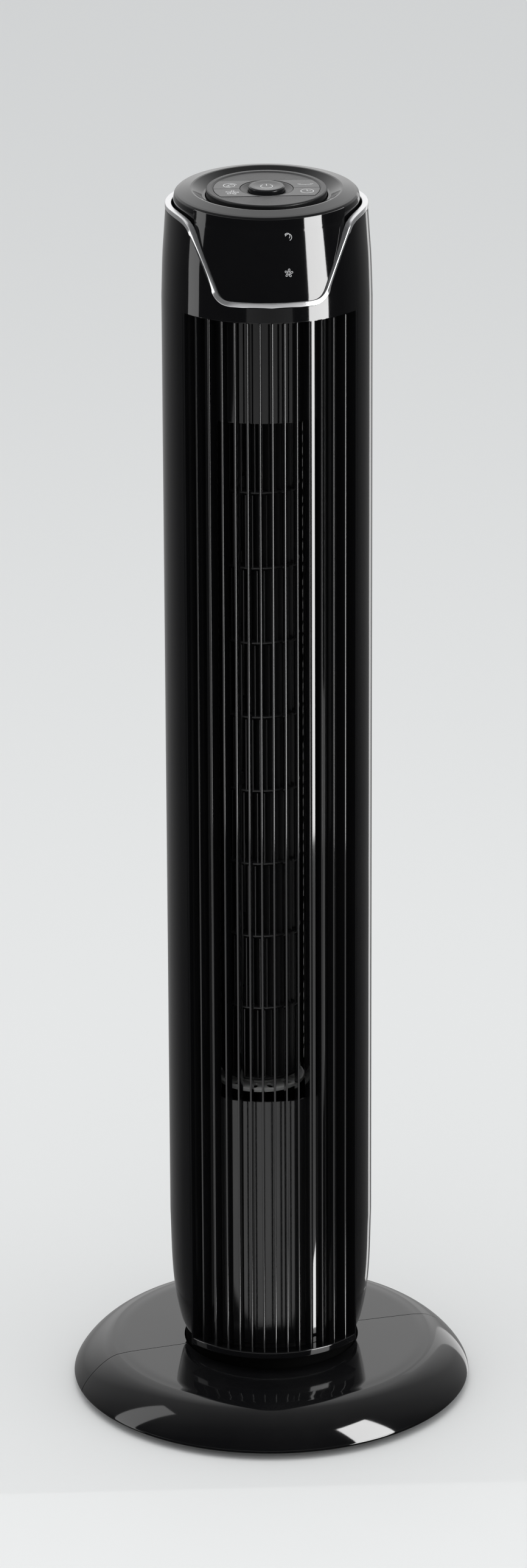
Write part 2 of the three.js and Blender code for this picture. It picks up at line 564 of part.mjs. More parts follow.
function buildMotor() {
  const lathe = (outline) => turnedSolid(outline, INNER_TURNS, AXIS_X, AXIS_Y);
  place('motor_stator', lathe([[15.6, 141], [28, 141], [28, 174], [15.6, 174]]), steel());
  place('winding_upper', lathe([[17.5, 174.5], [26, 174.5], [26, 186], [17.5, 186]]), copper());
  place('winding_lower', lathe([[17.5, 129], [26, 129], [26, 140.5], [17.5, 140.5]]), copper());
  place('motor_bracket_upper', lathe([
    [3.4, 188], [29, 188], [29, 192], [9, 192], [9, 200], [3.4, 200],
  ]), steel());
  place('motor_bracket_lower', lathe([
    [3.4, 114], [9, 114], [9, 122], [29, 122], [29, 126], [3.4, 126],
  ]), steel());
  place('motor_shelf', lathe([[3, 70], [31.5, 70], [31.5, 73], [12, 73], [12, 110], [3, 110]]), satinBlack());

  const floorHole = disc(9, 40, 60, SMALL_TURNS, 0, CRANK_Y);
  const floor = ring(TUBE_R + 0.6, 61.7, BODY_BOTTOM_Z, BODY_BOTTOM_Z + 3, INNER_TURNS);
  const collar = ring(TUBE_R + 0.6, 14, BODY_BOTTOM_Z, 54.2, INNER_TURNS);
  place('column_floor', floor.add(collar).subtract(floorHole), satinBlack());
}

buildBase();
buildHub();
buildSwingDrive();
buildShells();
buildGrille();
buildTop();
buildPanel();
buildDuct();
buildImpeller();
buildMotor();

export default fan;
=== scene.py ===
# %% [markdown]
# # A tower fan, finished in Blender
# The fan is a slim round column that swings on a wide round base. Its solid parts, sizes and joints come
# ready-made as a frame. This lesson gives every visible part its fine shape and its finish.
# The file is read from top to bottom, one small step at a time.

# %% Load the frame
import json
import math

import bpy
from mathutils import Matrix, Vector


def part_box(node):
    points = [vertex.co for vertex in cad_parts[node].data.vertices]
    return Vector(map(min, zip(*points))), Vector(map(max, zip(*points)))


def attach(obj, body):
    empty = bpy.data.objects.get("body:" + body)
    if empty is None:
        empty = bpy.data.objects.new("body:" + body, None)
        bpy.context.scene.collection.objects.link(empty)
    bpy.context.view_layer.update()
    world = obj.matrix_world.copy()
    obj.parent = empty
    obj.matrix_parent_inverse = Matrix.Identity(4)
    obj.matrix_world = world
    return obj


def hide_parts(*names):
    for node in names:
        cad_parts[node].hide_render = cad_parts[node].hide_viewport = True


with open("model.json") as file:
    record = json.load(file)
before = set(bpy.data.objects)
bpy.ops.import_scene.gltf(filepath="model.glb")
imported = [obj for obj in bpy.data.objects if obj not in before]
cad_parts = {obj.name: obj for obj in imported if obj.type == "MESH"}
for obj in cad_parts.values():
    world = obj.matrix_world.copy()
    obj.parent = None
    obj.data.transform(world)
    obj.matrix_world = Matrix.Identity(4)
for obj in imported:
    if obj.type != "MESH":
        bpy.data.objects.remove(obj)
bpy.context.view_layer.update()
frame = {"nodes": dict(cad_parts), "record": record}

MM = 0.001
nodes = frame["nodes"]
print("nodes in the frame:", len(nodes))

# %% [markdown]
# ## The camera
# The fan is looked at from a little above, slightly from its left, through a long lens. A long lens from
# far away keeps the tall column almost parallel, as a product view does. The other choice, a short lens
# close up, would make the base look far larger than the top.

# %% Camera
look_at = Vector((0, 0, 0.470))
distance = 4.6
azimuth = math.radians(-2.7)
elevation = math.radians(19.899)
away = Vector((
    math.sin(azimuth) * math.cos(elevation), -math.cos(azimuth) * math.cos(elevation), math.sin(elevation),
))
camera_data = bpy.data.cameras.new("camera")
camera_data.lens = 146.2
camera_data.sensor_width = 36
camera_data.shift_x = -0.0035
camera_data.shift_y = -0.0007
camera = bpy.data.objects.new("camera", camera_data)
bpy.context.scene.collection.objects.link(camera)
camera.location = look_at + away * distance
roll = Matrix.Rotation(math.radians(-0.235), 4, "Z")
aim = (-away).to_track_quat("-Z", "Y").to_matrix().to_4x4()
camera.matrix_world = Matrix.Translation(camera.location) @ aim @ roll
bpy.context.scene.camera = camera
bpy.context.scene.view_settings.view_transform = "Standard"
print("camera at", [round(value, 3) for value in camera.matrix_world.translation])

# %% [markdown]
# ## Helpers for modelling
# Nearly every part of the fan is either turned, as on a lathe, or drawn as an outline and drawn out
# straight. So a few helpers do by code what a hand does in edit mode: draw a chain of points by extruding
# a vertex, spin it or extrude it, slice it with a plane, and round its edges with a Bevel modifier.

# %% Selecting
def clear_selection():
    active = bpy.context.view_layer.objects.active
    if active and active.mode != "OBJECT":
        bpy.ops.object.mode_set(mode="OBJECT")
    bpy.ops.object.select_all(action="DESELECT")


def only(piece):
    clear_selection()
    piece.select_set(True)
    bpy.context.view_layer.objects.active = piece


def edit_all(piece):
    only(piece)
    bpy.ops.object.mode_set(mode="EDIT")
    bpy.ops.mesh.select_mode(type="VERT")
    bpy.ops.mesh.select_all(action="SELECT")


def named(piece, name):
    """Gives an object and its mesh one name."""
    piece.name = name
    piece.data.name = name
    return piece


# %% Drawing an outline
def draw_chain(name, points, closed):
    """A chain of edges through points in millimetres, left in edit mode and all selected."""
    clear_selection()
    bpy.ops.mesh.primitive_plane_add(size=0.01)
    piece = named(bpy.context.object, name)
    bpy.ops.object.mode_set(mode="EDIT")
    bpy.ops.mesh.select_mode(type="VERT")
    bpy.ops.mesh.select_all(action="SELECT")
    bpy.ops.mesh.merge(type="CENTER")
    places = [Vector(point) * MM for point in points]
    bpy.ops.transform.translate(value=places[0])
    for here, there in zip(places, places[1:]):
        bpy.ops.mesh.extrude_vertices_move(TRANSFORM_OT_translate={"value": there - here})
    bpy.ops.mesh.select_all(action="SELECT")
    if closed:
        bpy.ops.mesh.edge_face_add()
    return piece


def close_up(piece):
    """Merges doubles, turns the faces outwards and leaves edit mode."""
    bpy.ops.mesh.select_all(action="SELECT")
    bpy.ops.mesh.remove_doubles(threshold=1e-6)
    bpy.ops.mesh.normals_make_consistent(inside=False)
    bpy.ops.object.mode_set(mode="OBJECT")
    return piece


# %% Turning on a lathe
FINE = 256  # faces round a large glossy part
ROUND = 192  # faces round a large part
SMALL = 64  # faces round a small part


def turned(name, outline, steps=ROUND, centre=(0, 0)):
    """Turns (radius, height) points about an upright axis. An outline that starts on the axis ends on it."""
    solid = outline[0][0] == 0
    points = [(centre[0] + radius, centre[1], height) for radius, height in outline]
    piece = draw_chain(name, points, closed=not solid)
    if not solid:
        bpy.ops.mesh.delete(type="ONLY_FACE")
        bpy.ops.mesh.select_all(action="SELECT")
    axis_place = (centre[0] * MM, centre[1] * MM, 0)
    bpy.ops.mesh.spin(steps=steps, angle=math.tau, center=axis_place, axis=(0, 0, 1))
    return close_up(piece)


def turned_part(name, outline, middle, half_angle, steps):
    """A closed outline turned only part of the way; middle is in degrees from +X, seen from above."""
    piece = draw_chain(name, [(radius, 0, height) for radius, height in outline], closed=True)
    bpy.ops.mesh.spin(steps=steps, angle=math.radians(2 * half_angle), center=(0, 0, 0), axis=(0, 0, 1))
    close_up(piece)
    piece.rotation_euler.z = math.radians(middle + half_angle)
    return settle(piece)


def settle(piece):
    """Puts an object's place and turn into its mesh."""
    only(piece)
    bpy.ops.object.transform_apply(location=True, rotation=True, scale=True)
    return piece


# %% Drawing out straight
def drawn_out(name, points, along):
    """A closed outline extruded along a vector, all in millimetres."""
    piece = draw_chain(name, points, closed=True)
    bpy.ops.mesh.extrude_region_move(TRANSFORM_OT_translate={"value": Vector(along) * MM})
    return close_up(piece)


def raised_sheet(name, line, height, thickness):
    """An upright sheet of even thickness that stands on a line of points, all in millimetres."""
    sheet = draw_chain(name, line, closed=False)
    bpy.ops.mesh.extrude_edges_move(TRANSFORM_OT_translate={"value": (0, 0, height * MM)})
    close_up(sheet)
    only(sheet)
    thicken = sheet.modifiers.new("thicken", "SOLIDIFY")
    thicken.thickness = thickness * MM
    thicken.offset = 0
    bpy.ops.object.modifier_apply(modifier="thicken")
    return sheet


def upright_block(name, place, size, edge=0.3, degrees=0):
    """A block with rounded edges, its middle at place, turned about the column's axis."""
    clear_selection()
    bpy.ops.mesh.primitive_cube_add(size=1, location=Vector(place) * MM, scale=Vector(size) * MM)
    piece = named(bpy.context.object, name)
    settle(piece)
    bpy.ops.object.mode_set(mode="EDIT")
    bpy.ops.mesh.select_all(action="SELECT")
    if edge:
        bpy.ops.mesh.bevel(offset=edge * MM, segments=3, affect="EDGES")
    bpy.ops.object.mode_set(mode="OBJECT")
    piece.rotation_euler.z = math.radians(degrees)
    return settle(piece)


# %% Slicing, carving and joining
def sliced(piece, point, normal):
    """Slices a closed part with a plane, closes the cut and drops the side that the normal points to."""
    edit_all(piece)
    place = Vector(point) * MM
    bpy.ops.mesh.bisect(plane_co=place, plane_no=normal, use_fill=True, clear_outer=True)
    bpy.ops.object.mode_set(mode="OBJECT")
    return piece


def carved(piece, tool, operation="DIFFERENCE"):
    """Cuts a part with another one, or keeps only what they share, and throws the tool away."""
    only(piece)
    carve = piece.modifiers.new("carve", "BOOLEAN")
    carve.operation = operation
    carve.object = tool
    carve.solver = "EXACT"
    bpy.ops.object.modifier_apply(modifier="carve")
    bpy.data.objects.remove(tool)
    return piece


def joined(name, parts):
    clear_selection()
    for part in parts:
        part.select_set(True)
    bpy.context.view_layer.objects.active = parts[0]
    bpy.ops.object.join()
    return named(parts[0], name)


def copied(piece, name, matrix):
    """A copy with its own mesh, moved by a matrix."""
    twin = piece.copy()
    twin.data = piece.data.copy()
    named(twin, name)
    twin.data.transform(matrix)
    bpy.context.scene.collection.objects.link(twin)
    return twin


# %% Rounding the edges
def smoothed(piece, edge=0.0, angle=32):
    """Rounds sharp edges by a small radius in millimetres, then shades the gentle ones smooth."""
    only(piece)
    if edge:
        rounding = piece.modifiers.new("rounding", "BEVEL")
        rounding.width = edge * MM
        rounding.segments = 2
        rounding.limit_method = "ANGLE"
        rounding.angle_limit = math.radians(angle + 8)
        bpy.ops.object.modifier_apply(modifier="rounding")
    bpy.ops.object.shade_smooth_by_angle(angle=math.radians(angle))
    weigh = piece.modifiers.new("weigh", "WEIGHTED_NORMAL")
    weigh.keep_sharp = True
    bpy.ops.object.modifier_apply(modifier="weigh")
    return piece


# %% Curves for outlines
def arc(centre, radii, start, end, steps):
    """Points on an ellipse, from one angle in degrees to another."""
    angles = [math.radians(start + (end - start) * i / steps) for i in range(steps + 1)]
    return [(centre[0] + radii[0] * math.cos(a), centre[1] + radii[1] * math.sin(a)) for a in angles]


def rectangle(inner, outer, low, high):
    """The outline of a plain ring, or of a disc if inner is 0."""
    return [(inner, low), (outer, low), (outer, high), (inner, high)]


def rounded(points, steps=4):
    """An outline whose corners are (r, z) or (r, z, radius); corners with a radius become arcs."""
    result = []
    count = len(points)
    for i, corner in enumerate(points):
        here = Vector(corner[:2])
        if len(corner) < 3:
            result.append(tuple(here))
            continue
        to_last = Vector(points[i - 1][:2]) - here
        to_next = Vector(points[(i + 1) % count][:2]) - here
        half = to_last.angle(to_next) / 2
        reach = min(corner[2] / math.tan(half), 0.49 * to_last.length, 0.49 * to_next.length)
        start = here + to_last.normalized() * reach
        end = here + to_next.normalized() * reach
        for k in range(steps + 1):
            t = k / steps
            result.append(tuple(start * (1 - t) ** 2 + here * 2 * t * (1 - t) + end * t ** 2))
    return result


def flowing(points, steps):
    """A smooth line through points, as a Catmull-Rom curve."""
    ends = [2 * Vector(points[0]) - Vector(points[1]), 2 * Vector(points[-1]) - Vector(points[-2])]
    row = [ends[0], *map(Vector, points), ends[1]]
    line = []
    for a, b, c, d in zip(row, row[1:], row[2:], row[3:]):
        for k in range(steps):
            t = k / steps
            line.append(tuple(0.5 * (2 * b + (c - a) * t + (2 * a - 5 * b + 4 * c - d) * t * t
                                     + (3 * b - a - 3 * c + d) * t ** 3)))
    return line + [tuple(points[-1])]


print("helpers ready")

# %% [markdown]
# ## Effects that several finishes share
# Real plastic is never quite flat or quite clean. Three node groups hold what the finishes share: the faint
# waviness of a polished moulding, the fine grain of a spark-eroded mould, and a little settled dust with
# finger smudges. A group gives out only masks and normals, so each material keeps its own shader.

# %% A node group and its sockets
def new_group(name, inputs, outputs):
    group = bpy.data.node_groups.new(name, "ShaderNodeTree")
    for socket_name, default in inputs.items():
        kind = "NodeSocketVector" if default is None else "NodeSocketFloat"
        socket = group.interface.new_socket(socket_name, in_out="INPUT", socket_type=kind)
        if default is not None:
            socket.default_value = default
    for socket_name, kind in outputs.items():
        group.interface.new_socket(socket_name, in_out="OUTPUT", socket_type=kind)
    start = group.nodes.new("NodeGroupInput")
    end = group.nodes.new("NodeGroupOutput")
    return group, start, end


def noise(tree, scale, detail, vector, roughness=0.5):
    node = tree.nodes.new("ShaderNodeTexNoise")
    node.inputs["Detail"].default_value = detail
    node.inputs["Roughness"].default_value = roughness
    tree.links.new(vector, node.inputs["Vector"])
    if hasattr(scale, "is_output"):
        tree.links.new(scale, node.inputs["Scale"])
    else:
        node.inputs["Scale"].default_value = scale
    return node.outputs["Fac"]


def bump(tree, height, strength, depth, normal=None):
    node = tree.nodes.new("ShaderNodeBump")
    node.inputs["Distance"].default_value = depth
    tree.links.new(height, node.inputs["Height"])
    if hasattr(strength, "is_output"):
        tree.links.new(strength, node.inputs["Strength"])
    else:
        node.inputs["Strength"].default_value = strength
    if normal is not None:
        tree.links.new(normal, node.inputs["Normal"])
    return node.outputs["Normal"]


def math_node(tree, operation, first, second, third=None, clamp=False):
    node = tree.nodes.new("ShaderNodeMath")
    node.operation = operation
    node.use_clamp = clamp
    for socket, value in zip(node.inputs, (first, second, third)):
        if hasattr(value, "is_output"):
            tree.links.new(value, socket)
        elif value is not None:
            socket.default_value = value
    return node.outputs["Value"]


# %% Waviness of a polished moulding
wave_group, wave_in, wave_out = new_group(
    "polished_wave", {"Vector": None, "Scale": 18.0, "Strength": 0.2}, {"Normal": "NodeSocketVector"},
)
wave_height = noise(wave_group, wave_in.outputs["Scale"], 1.0, wave_in.outputs["Vector"])
wave_normal = bump(wave_group, wave_height, wave_in.outputs["Strength"], 0.002)
wave_group.links.new(wave_normal, wave_out.inputs["Normal"])

# %% Grain of a spark-eroded mould
grain_group, grain_in, grain_out = new_group(
    "mould_grain", {"Vector": None, "Scale": 1400.0, "Strength": 0.3},
    {"Normal": "NodeSocketVector", "Height": "NodeSocketFloat"},
)
grain_height = noise(grain_group, grain_in.outputs["Scale"], 2.0, grain_in.outputs["Vector"], 0.6)
grain_normal = bump(grain_group, grain_height, grain_in.outputs["Strength"], 0.0004)
grain_group.links.new(grain_normal, grain_out.inputs["Normal"])
grain_group.links.new(grain_height, grain_out.inputs["Height"])

# %% Settled dust and smudges
dust_group, dust_in, dust_out = new_group(
    "dust_and_smudges", {"Vector": None, "Amount": 0.3}, {"Mask": "NodeSocketFloat"},
)
cloud = noise(dust_group, 14.0, 4.0, dust_in.outputs["Vector"], 0.62)
specks = noise(dust_group, 900.0, 1.0, dust_in.outputs["Vector"])
cloud_part = math_node(dust_group, "MULTIPLY_ADD", cloud, 1.7, -0.62, clamp=True)
speck_part = math_node(dust_group, "GREATER_THAN", specks, 0.7)
together = math_node(dust_group, "MULTIPLY_ADD", speck_part, 0.5, cloud_part)
facing = dust_group.nodes.new("ShaderNodeNewGeometry")
split = dust_group.nodes.new("ShaderNodeSeparateXYZ")
dust_group.links.new(facing.outputs["Normal"], split.inputs["Vector"])
upward = math_node(dust_group, "MAXIMUM", split.outputs["Z"], 0.0)
upward = math_node(dust_group, "MULTIPLY_ADD", upward, 0.7, 0.3)
dust_amount = math_node(dust_group, "MULTIPLY", together, dust_in.outputs["Amount"])
dust_mask = math_node(dust_group, "MULTIPLY", dust_amount, upward, clamp=True)
dust_group.links.new(dust_mask, dust_out.inputs["Mask"])
print("node groups:", [group.name for group in bpy.data.node_groups])

# %% [markdown]
# ## The finishes
# The column, base and cap are polished black ABS, nearly a mirror. The rear housing is the same plastic
# with a fine satin grain, and the buttons and the motor's cover are a little duller than the shell. The hub
# and the retainer clip stand in shade and get a plain deep black: painted shade, darker than their own
# finish. The thin trim is chrome. Each finish is one function call: its colour, its roughness, and how
# much wave, grain and dust it gets. An image texture could hold the dust, but a procedural one has no
# seams and no limit.

# %% One function for all the finishes
def finish(name, colour, roughness, metallic=0.0, wave=0.0, grain=0.0, grain_scale=1400.0, dust=0.3,
           mottle=0.0, dust_roughness=0.25, specular=0.5):
    material = bpy.data.materials.new(name)
    material.use_nodes = True
    tree = material.node_tree
    shader = tree.nodes["Principled BSDF"]
    shader.inputs["Metallic"].default_value = metallic
    shader.inputs["Specular IOR Level"].default_value = specular
    place = tree.nodes.new("ShaderNodeTexCoord").outputs["Object"]

    def use(group, **values):
        node = tree.nodes.new("ShaderNodeGroup")
        node.node_tree = group
        tree.links.new(place, node.inputs["Vector"])
        for key, value in values.items():
            node.inputs[key].default_value = value
        return node

    dusty = use(dust_group, Amount=dust).outputs["Mask"]
    colours = tree.nodes.new("ShaderNodeMix")
    colours.data_type = "RGBA"
    colours.inputs["A"].default_value = (*colour, 1)
    colours.inputs["B"].default_value = (0.2, 0.195, 0.185, 1)
    share = math_node(tree, "MULTIPLY", dusty, 0.12)
    tree.links.new(share, colours.inputs["Factor"])
    colour_out = colours.outputs["Result"]
    if mottle:
        patches = noise(tree, 42.0, 6.0, place, 0.7)
        tone = math_node(tree, "MULTIPLY_ADD", patches, mottle, 1 - mottle / 2)
        shaded = tree.nodes.new("ShaderNodeVectorMath")
        shaded.operation = "SCALE"
        tree.links.new(colour_out, shaded.inputs[0])
        tree.links.new(tone, shaded.inputs["Scale"])
        colour_out = shaded.outputs["Vector"]
    tree.links.new(colour_out, shader.inputs["Base Color"])
    rough = math_node(tree, "MULTIPLY_ADD", dusty, dust_roughness, roughness)
    tree.links.new(rough, shader.inputs["Roughness"])
    if wave:
        tree.links.new(use(wave_group, Strength=wave).outputs["Normal"], shader.inputs["Normal"])
    if grain:
        grained = use(grain_group, Strength=grain, Scale=grain_scale)
        tree.links.new(grained.outputs["Normal"], shader.inputs["Normal"])
    return material


# %% The finishes of this fan
finishes = {
    "gloss_black": finish("gloss_black", (0.0045, 0.0045, 0.005), 0.05, wave=0.05, dust=0.25),
    "satin_black": finish("satin_black", (0.009, 0.009, 0.0095), 0.34, grain=0.35, dust=0.5),
    "button_black": finish("button_black", (0.011, 0.011, 0.012), 0.2, grain=0.1, dust=0.3),
    "pale_plastic": finish("pale_plastic", (0.38, 0.38, 0.37), 0.45, grain=0.3, mottle=0.15, dust=0.5),
    "chrome": finish("chrome", (0.7, 0.7, 0.71), 0.22, metallic=0.85, wave=0.04, dust=0.2),
    "steel": finish("steel", (0.42, 0.43, 0.44), 0.32, metallic=1.0, grain=0.15, mottle=0.2, dust=0.4),
    "copper": finish("copper", (0.42, 0.17, 0.08), 0.35, metallic=1.0, grain=0.4, dust=0.3),
    "circuit": finish("circuit", (0.012, 0.06, 0.025), 0.4, grain=0.3, mottle=0.5, dust=0.3),
    "rubber": finish("rubber", (0.011, 0.011, 0.011), 0.75, grain=0.6, dust=0.9),
    "icon_print": finish("icon_print", (0.6, 0.6, 0.6), 0.5, grain=0.2, dust=0.2),
    "cover_gloss": finish("cover_gloss", (0.01, 0.01, 0.0105), 0.08, grain=0.04, dust=0.3),
    # painted shade: a near-black finish with almost no reflection, for parts that stand in shade
    "painted_shade_black": finish("painted_shade_black", (0.001, 0.001, 0.001), 0.8, grain=0.3, dust=0.0, specular=0.03),
}
print("finishes:", ", ".join(finishes))

# %% [markdown]
# ## Which finish each hidden part gets
# The parts inside the fan keep the shapes of the frame, because nobody sees them close up. They still get a
# real finish, since some can be glimpsed between the bars and through the intake at the back.

# %% Dress the frame's own parts
node_slot = {part["node"]: part["material_slot"] for part in frame["record"]["subparts"]}
for name, node in nodes.items():
    node.data.materials.clear()
    # the retainer clip gets the near-black painted shade finish instead of its own
    surface = "painted_shade_black" if name == "retainer_clip" else node_slot[name]
    node.data.materials.append(finishes[surface])
print("dressed", len(nodes), "parts of the frame")


# %% Put a new piece to work
def dress(piece, body, slot, *stands_for, surface=None):
    """Gives a piece its finish and its body, and hides the frame parts that it stands for."""
    piece.data.materials.clear()
    piece.data.materials.append(finishes[surface or slot])
    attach(piece, body)
    if stands_for:
        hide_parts(*stands_for)
    print(piece.name, "rides on", body, "with", len(piece.data.polygons), "faces")
    return piece


# %% [markdown]
# ## Studio
# Black gloss plastic shows almost nothing of itself: what is seen is what it reflects. So the light is made
# for the reflections first. Tall soft boxes stand to the sides, the surroundings grow brighter above and
# behind the fan, and a pale card lies on the floor in front, which the lower panels and the bars pick up.
# A large soft light high overhead makes the gentle shadow on the pale floor.

# %% Surroundings
world = bpy.data.worlds.new("studio")
bpy.context.scene.world = world
world.use_nodes = True
tree = world.node_tree
tree.nodes.clear()
direction = tree.nodes.new("ShaderNodeTexCoord").outputs["Generated"]
behind_and_above = tree.nodes.new("ShaderNodeVectorMath")
behind_and_above.operation = "DOT_PRODUCT"
tree.links.new(direction, behind_and_above.inputs[0])
behind_and_above.inputs[1].default_value = (0, 0.4, 0.3)
behind = math_node(tree, "ADD", behind_and_above.outputs["Value"], 0.5)
ramp = tree.nodes.new("ShaderNodeValToRGB")
reflected_tones = [(0.0, 0.003), (0.4, 0.006), (0.585, 0.04), (0.74, 0.12), (0.85, 0.22), (0.95, 0.62)]
for index, (place, tone) in enumerate(reflected_tones):
    stop = ramp.color_ramp.elements[index] if index < 2 else ramp.color_ramp.elements.new(place)
    stop.position = place
    stop.color = (tone, tone, tone, 1)
tree.links.new(behind, ramp.inputs["Fac"])
for_reflections = tree.nodes.new("ShaderNodeBackground")
tree.links.new(ramp.outputs["Color"], for_reflections.inputs["Color"])
for_reflections.inputs["Strength"].default_value = 2
for_the_rest = tree.nodes.new("ShaderNodeBackground")
for_the_rest.inputs["Color"].default_value = (0.96, 0.98, 1.0, 1)
for_the_rest.inputs["Strength"].default_value = 0.8
rays = tree.nodes.new("ShaderNodeLightPath")
either = tree.nodes.new("ShaderNodeMixShader")
tree.links.new(rays.outputs["Is Glossy Ray"], either.inputs["Fac"])
tree.links.new(for_the_rest.outputs["Background"], either.inputs[1])
tree.links.new(for_reflections.outputs["Background"], either.inputs[2])
output = tree.nodes.new("ShaderNodeOutputWorld")
tree.links.new(either.outputs["Shader"], output.inputs["Surface"])

# %% Floor
clear_selection()
bpy.ops.mesh.primitive_plane_add(size=40, location=(0, 0, -0.0001))
floor = bpy.context.object
floor.name = "floor"
paper = bpy.data.materials.new("studio_paper")
paper.use_nodes = True
paper.node_tree.nodes["Principled BSDF"].inputs["Base Color"].default_value = (0.8, 0.8, 0.79, 1)
paper.node_tree.nodes["Principled BSDF"].inputs["Roughness"].default_value = 0.9
floor.data.materials.append(paper)
floor.visible_glossy = False


# %% Soft boxes
def only_in_reflections(panel):
    """Makes a glowing panel that glossy surfaces see and nothing else does."""
    panel.visible_camera = False
    panel.visible_diffuse = False
    panel.visible_shadow = False


def glowing(name):
    """A material that only gives out light, and the node that sets how much."""
    material = bpy.data.materials.new(name)
    material.use_nodes = True
    tree = material.node_tree
    tree.nodes.clear()
    lamp = tree.nodes.new("ShaderNodeEmission")
    end = tree.nodes.new("ShaderNodeOutputMaterial")
    tree.links.new(lamp.outputs["Emission"], end.inputs["Surface"])
    return material, lamp


def soft_box(name, bearing, width, low, high, reach, strength):
    """A glowing panel seen only in reflections. Bearing is from the front, positive to the fan's left."""
    clear_selection()
    bpy.ops.mesh.primitive_plane_add(size=1)
    panel = bpy.context.object
    panel.name = name
    panel.scale = (width, high - low, 1)
    turn = Matrix.Rotation(math.radians(bearing), 4, "Z")
    middle = turn @ Vector((0, -reach, 0))
    panel.matrix_world = (
        Matrix.Translation((middle.x, middle.y, (low + high) / 2)) @ turn
        @ Matrix.Rotation(math.radians(90), 4, "X") @ Matrix.Diagonal((width, high - low, 1, 1))
    )
    glow, lamp = glowing(name)
    lamp.inputs["Strength"].default_value = strength
    panel.data.materials.append(glow)
    only_in_reflections(panel)


soft_box("soft_box_right", 54, 0.52, -0.75, 1.35, 1.25, 17)
soft_box("soft_box_left", -88, 0.35, -0.75, 1.6, 1.3, 2.2)
soft_box("soft_box_rear_right", 150, 0.22, -0.6, 1.2, 1.4, 1.5)

# %% Floor card
card_near, card_far, card_half_width = -0.19, -4.0, 1.6  # metres
clear_selection()
bpy.ops.mesh.primitive_plane_add(size=1)
card = bpy.context.object
card.name = "floor_card"
card.data.transform(
    Matrix.Translation((0, (card_near + card_far) / 2, 0.0005))
    @ Matrix.Diagonal((2 * card_half_width, card_near - card_far, 1, 1))
)
card_glow, lamp = glowing("floor_card")
tree = card_glow.node_tree
card_point = tree.nodes.new("ShaderNodeTexCoord").outputs["Object"]
card_axes = tree.nodes.new("ShaderNodeSeparateXYZ")
tree.links.new(card_point, card_axes.inputs["Vector"])
fading = math_node(tree, "MULTIPLY_ADD", card_axes.outputs["Y"], 0.25, 1.25)
clouds = math_node(tree, "MULTIPLY_ADD", noise(tree, 9.0, 4.0, card_point, 0.6), 0.4, 0.8)
tree.links.new(math_node(tree, "MULTIPLY", fading, clouds), lamp.inputs["Strength"])
card.data.materials.append(card_glow)
only_in_reflections(card)
print("floor card from", card_near, "to", card_far, "m")

# %% Overhead light
overhead_data = bpy.data.lights.new("overhead", "AREA")
overhead_data.size = 2.6
overhead_data.energy = 34
overhead = bpy.data.objects.new("overhead", overhead_data)
overhead.location = (-0.25, -0.35, 3.3)
overhead.rotation_euler = overhead.location.to_track_quat("Z", "Y").to_euler()
overhead.visible_glossy = False
bpy.context.scene.collection.objects.link(overhead)

# %% [markdown]
# ## The base
# The base is one low round shell, made in two halves so that it packs flat, so a fine seam crosses it. It is
# turned from one outline on a lathe, then sliced in two by a plane through the axis, and each half gets
# slightly rounded edges so that the seam catches the light. A bent plate would not give this even curve.

# %% Base halves
base_low, base_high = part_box("base_front_half")
base_turn = 14.3  # degrees, the seam's turn from the column
foot_turn = 17
base_r = 147
edge_z = 7
rim_r = 118
rim_z = 33.9
bottom_r = 131
hub_hole_r = 64.2
skin = 2.6
shoulder_power = 1.45  # 1 is an ellipse, 2 a straight slope
crease_depth, crease_width = 0.6, 5
top_slope = 0.013


def eased(radius, height):
    """Softens the line where the shoulder meets the top."""
    return radius, height - crease_depth * math.exp(-((radius - rim_r) / crease_width) ** 2)


def falling_shoulder(steps):
    """The outer edge of the base, from its widest line up to the nearly flat top."""
    points = []
    for count in range(steps + 1):
        angle = math.radians(90 * count / steps)
        out = max(math.cos(angle), 0) ** shoulder_power
        up = math.sin(angle) ** shoulder_power
        points.append(eased(rim_r + (base_r - rim_r) * out, edge_z + (rim_z - edge_z) * up))
    return points


base_outline = (
    arc((bottom_r, edge_z), (base_r - bottom_r, edge_z - 2), -90, 0, 10) + falling_shoulder(24)[1:]
    + [eased(radius, rim_z + (rim_r - radius) * top_slope) for radius in range(116, 103, -2)]
    + rounded([(100, 34.15), (hub_hole_r, 34.6, 0.6), (hub_hole_r, 31), (rim_r - 1, rim_z - skin)])
    + [(rim_r + 15.4, edge_z + 14.3), (base_r - skin, edge_z), (bottom_r, 4.6), (112, 4.6), (112, 2)]
)
whole_base = turned("base_shell_front", base_outline, steps=FINE)
seam_turn = math.radians(base_turn)
seam_normal = Vector((-math.sin(seam_turn), math.cos(seam_turn), 0))
seam_gap = 0.25
rear_half = copied(whole_base, "base_shell_rear", Matrix.Identity(4))
front_half = sliced(whole_base, seam_normal * -seam_gap, seam_normal)
sliced(rear_half, seam_normal * seam_gap, -seam_normal)
bush_angle = math.radians(90 + base_turn)
bush_z = 12
to_bush = Matrix.Translation((0, 0, bush_z * MM)) @ Matrix.Rotation(bush_angle, 4, "Z")
lie_down = Matrix.Rotation(math.radians(90), 4, "Y")
bush_hole = turned("bush_hole", rectangle(0, 5.15, 120, 160), steps=SMALL)
bush_hole.data.transform(to_bush @ lie_down)
carved(rear_half, bush_hole)
for half in (front_half, rear_half):
    smoothed(half, edge=0.35)
dress(front_half, "base", "gloss_black", "base_front_half")
dress(rear_half, "base", "gloss_black", "base_rear_half")
print("front half of the frame's base, mm:", [round(value / MM, 1) for value in (*base_low, *base_high)])

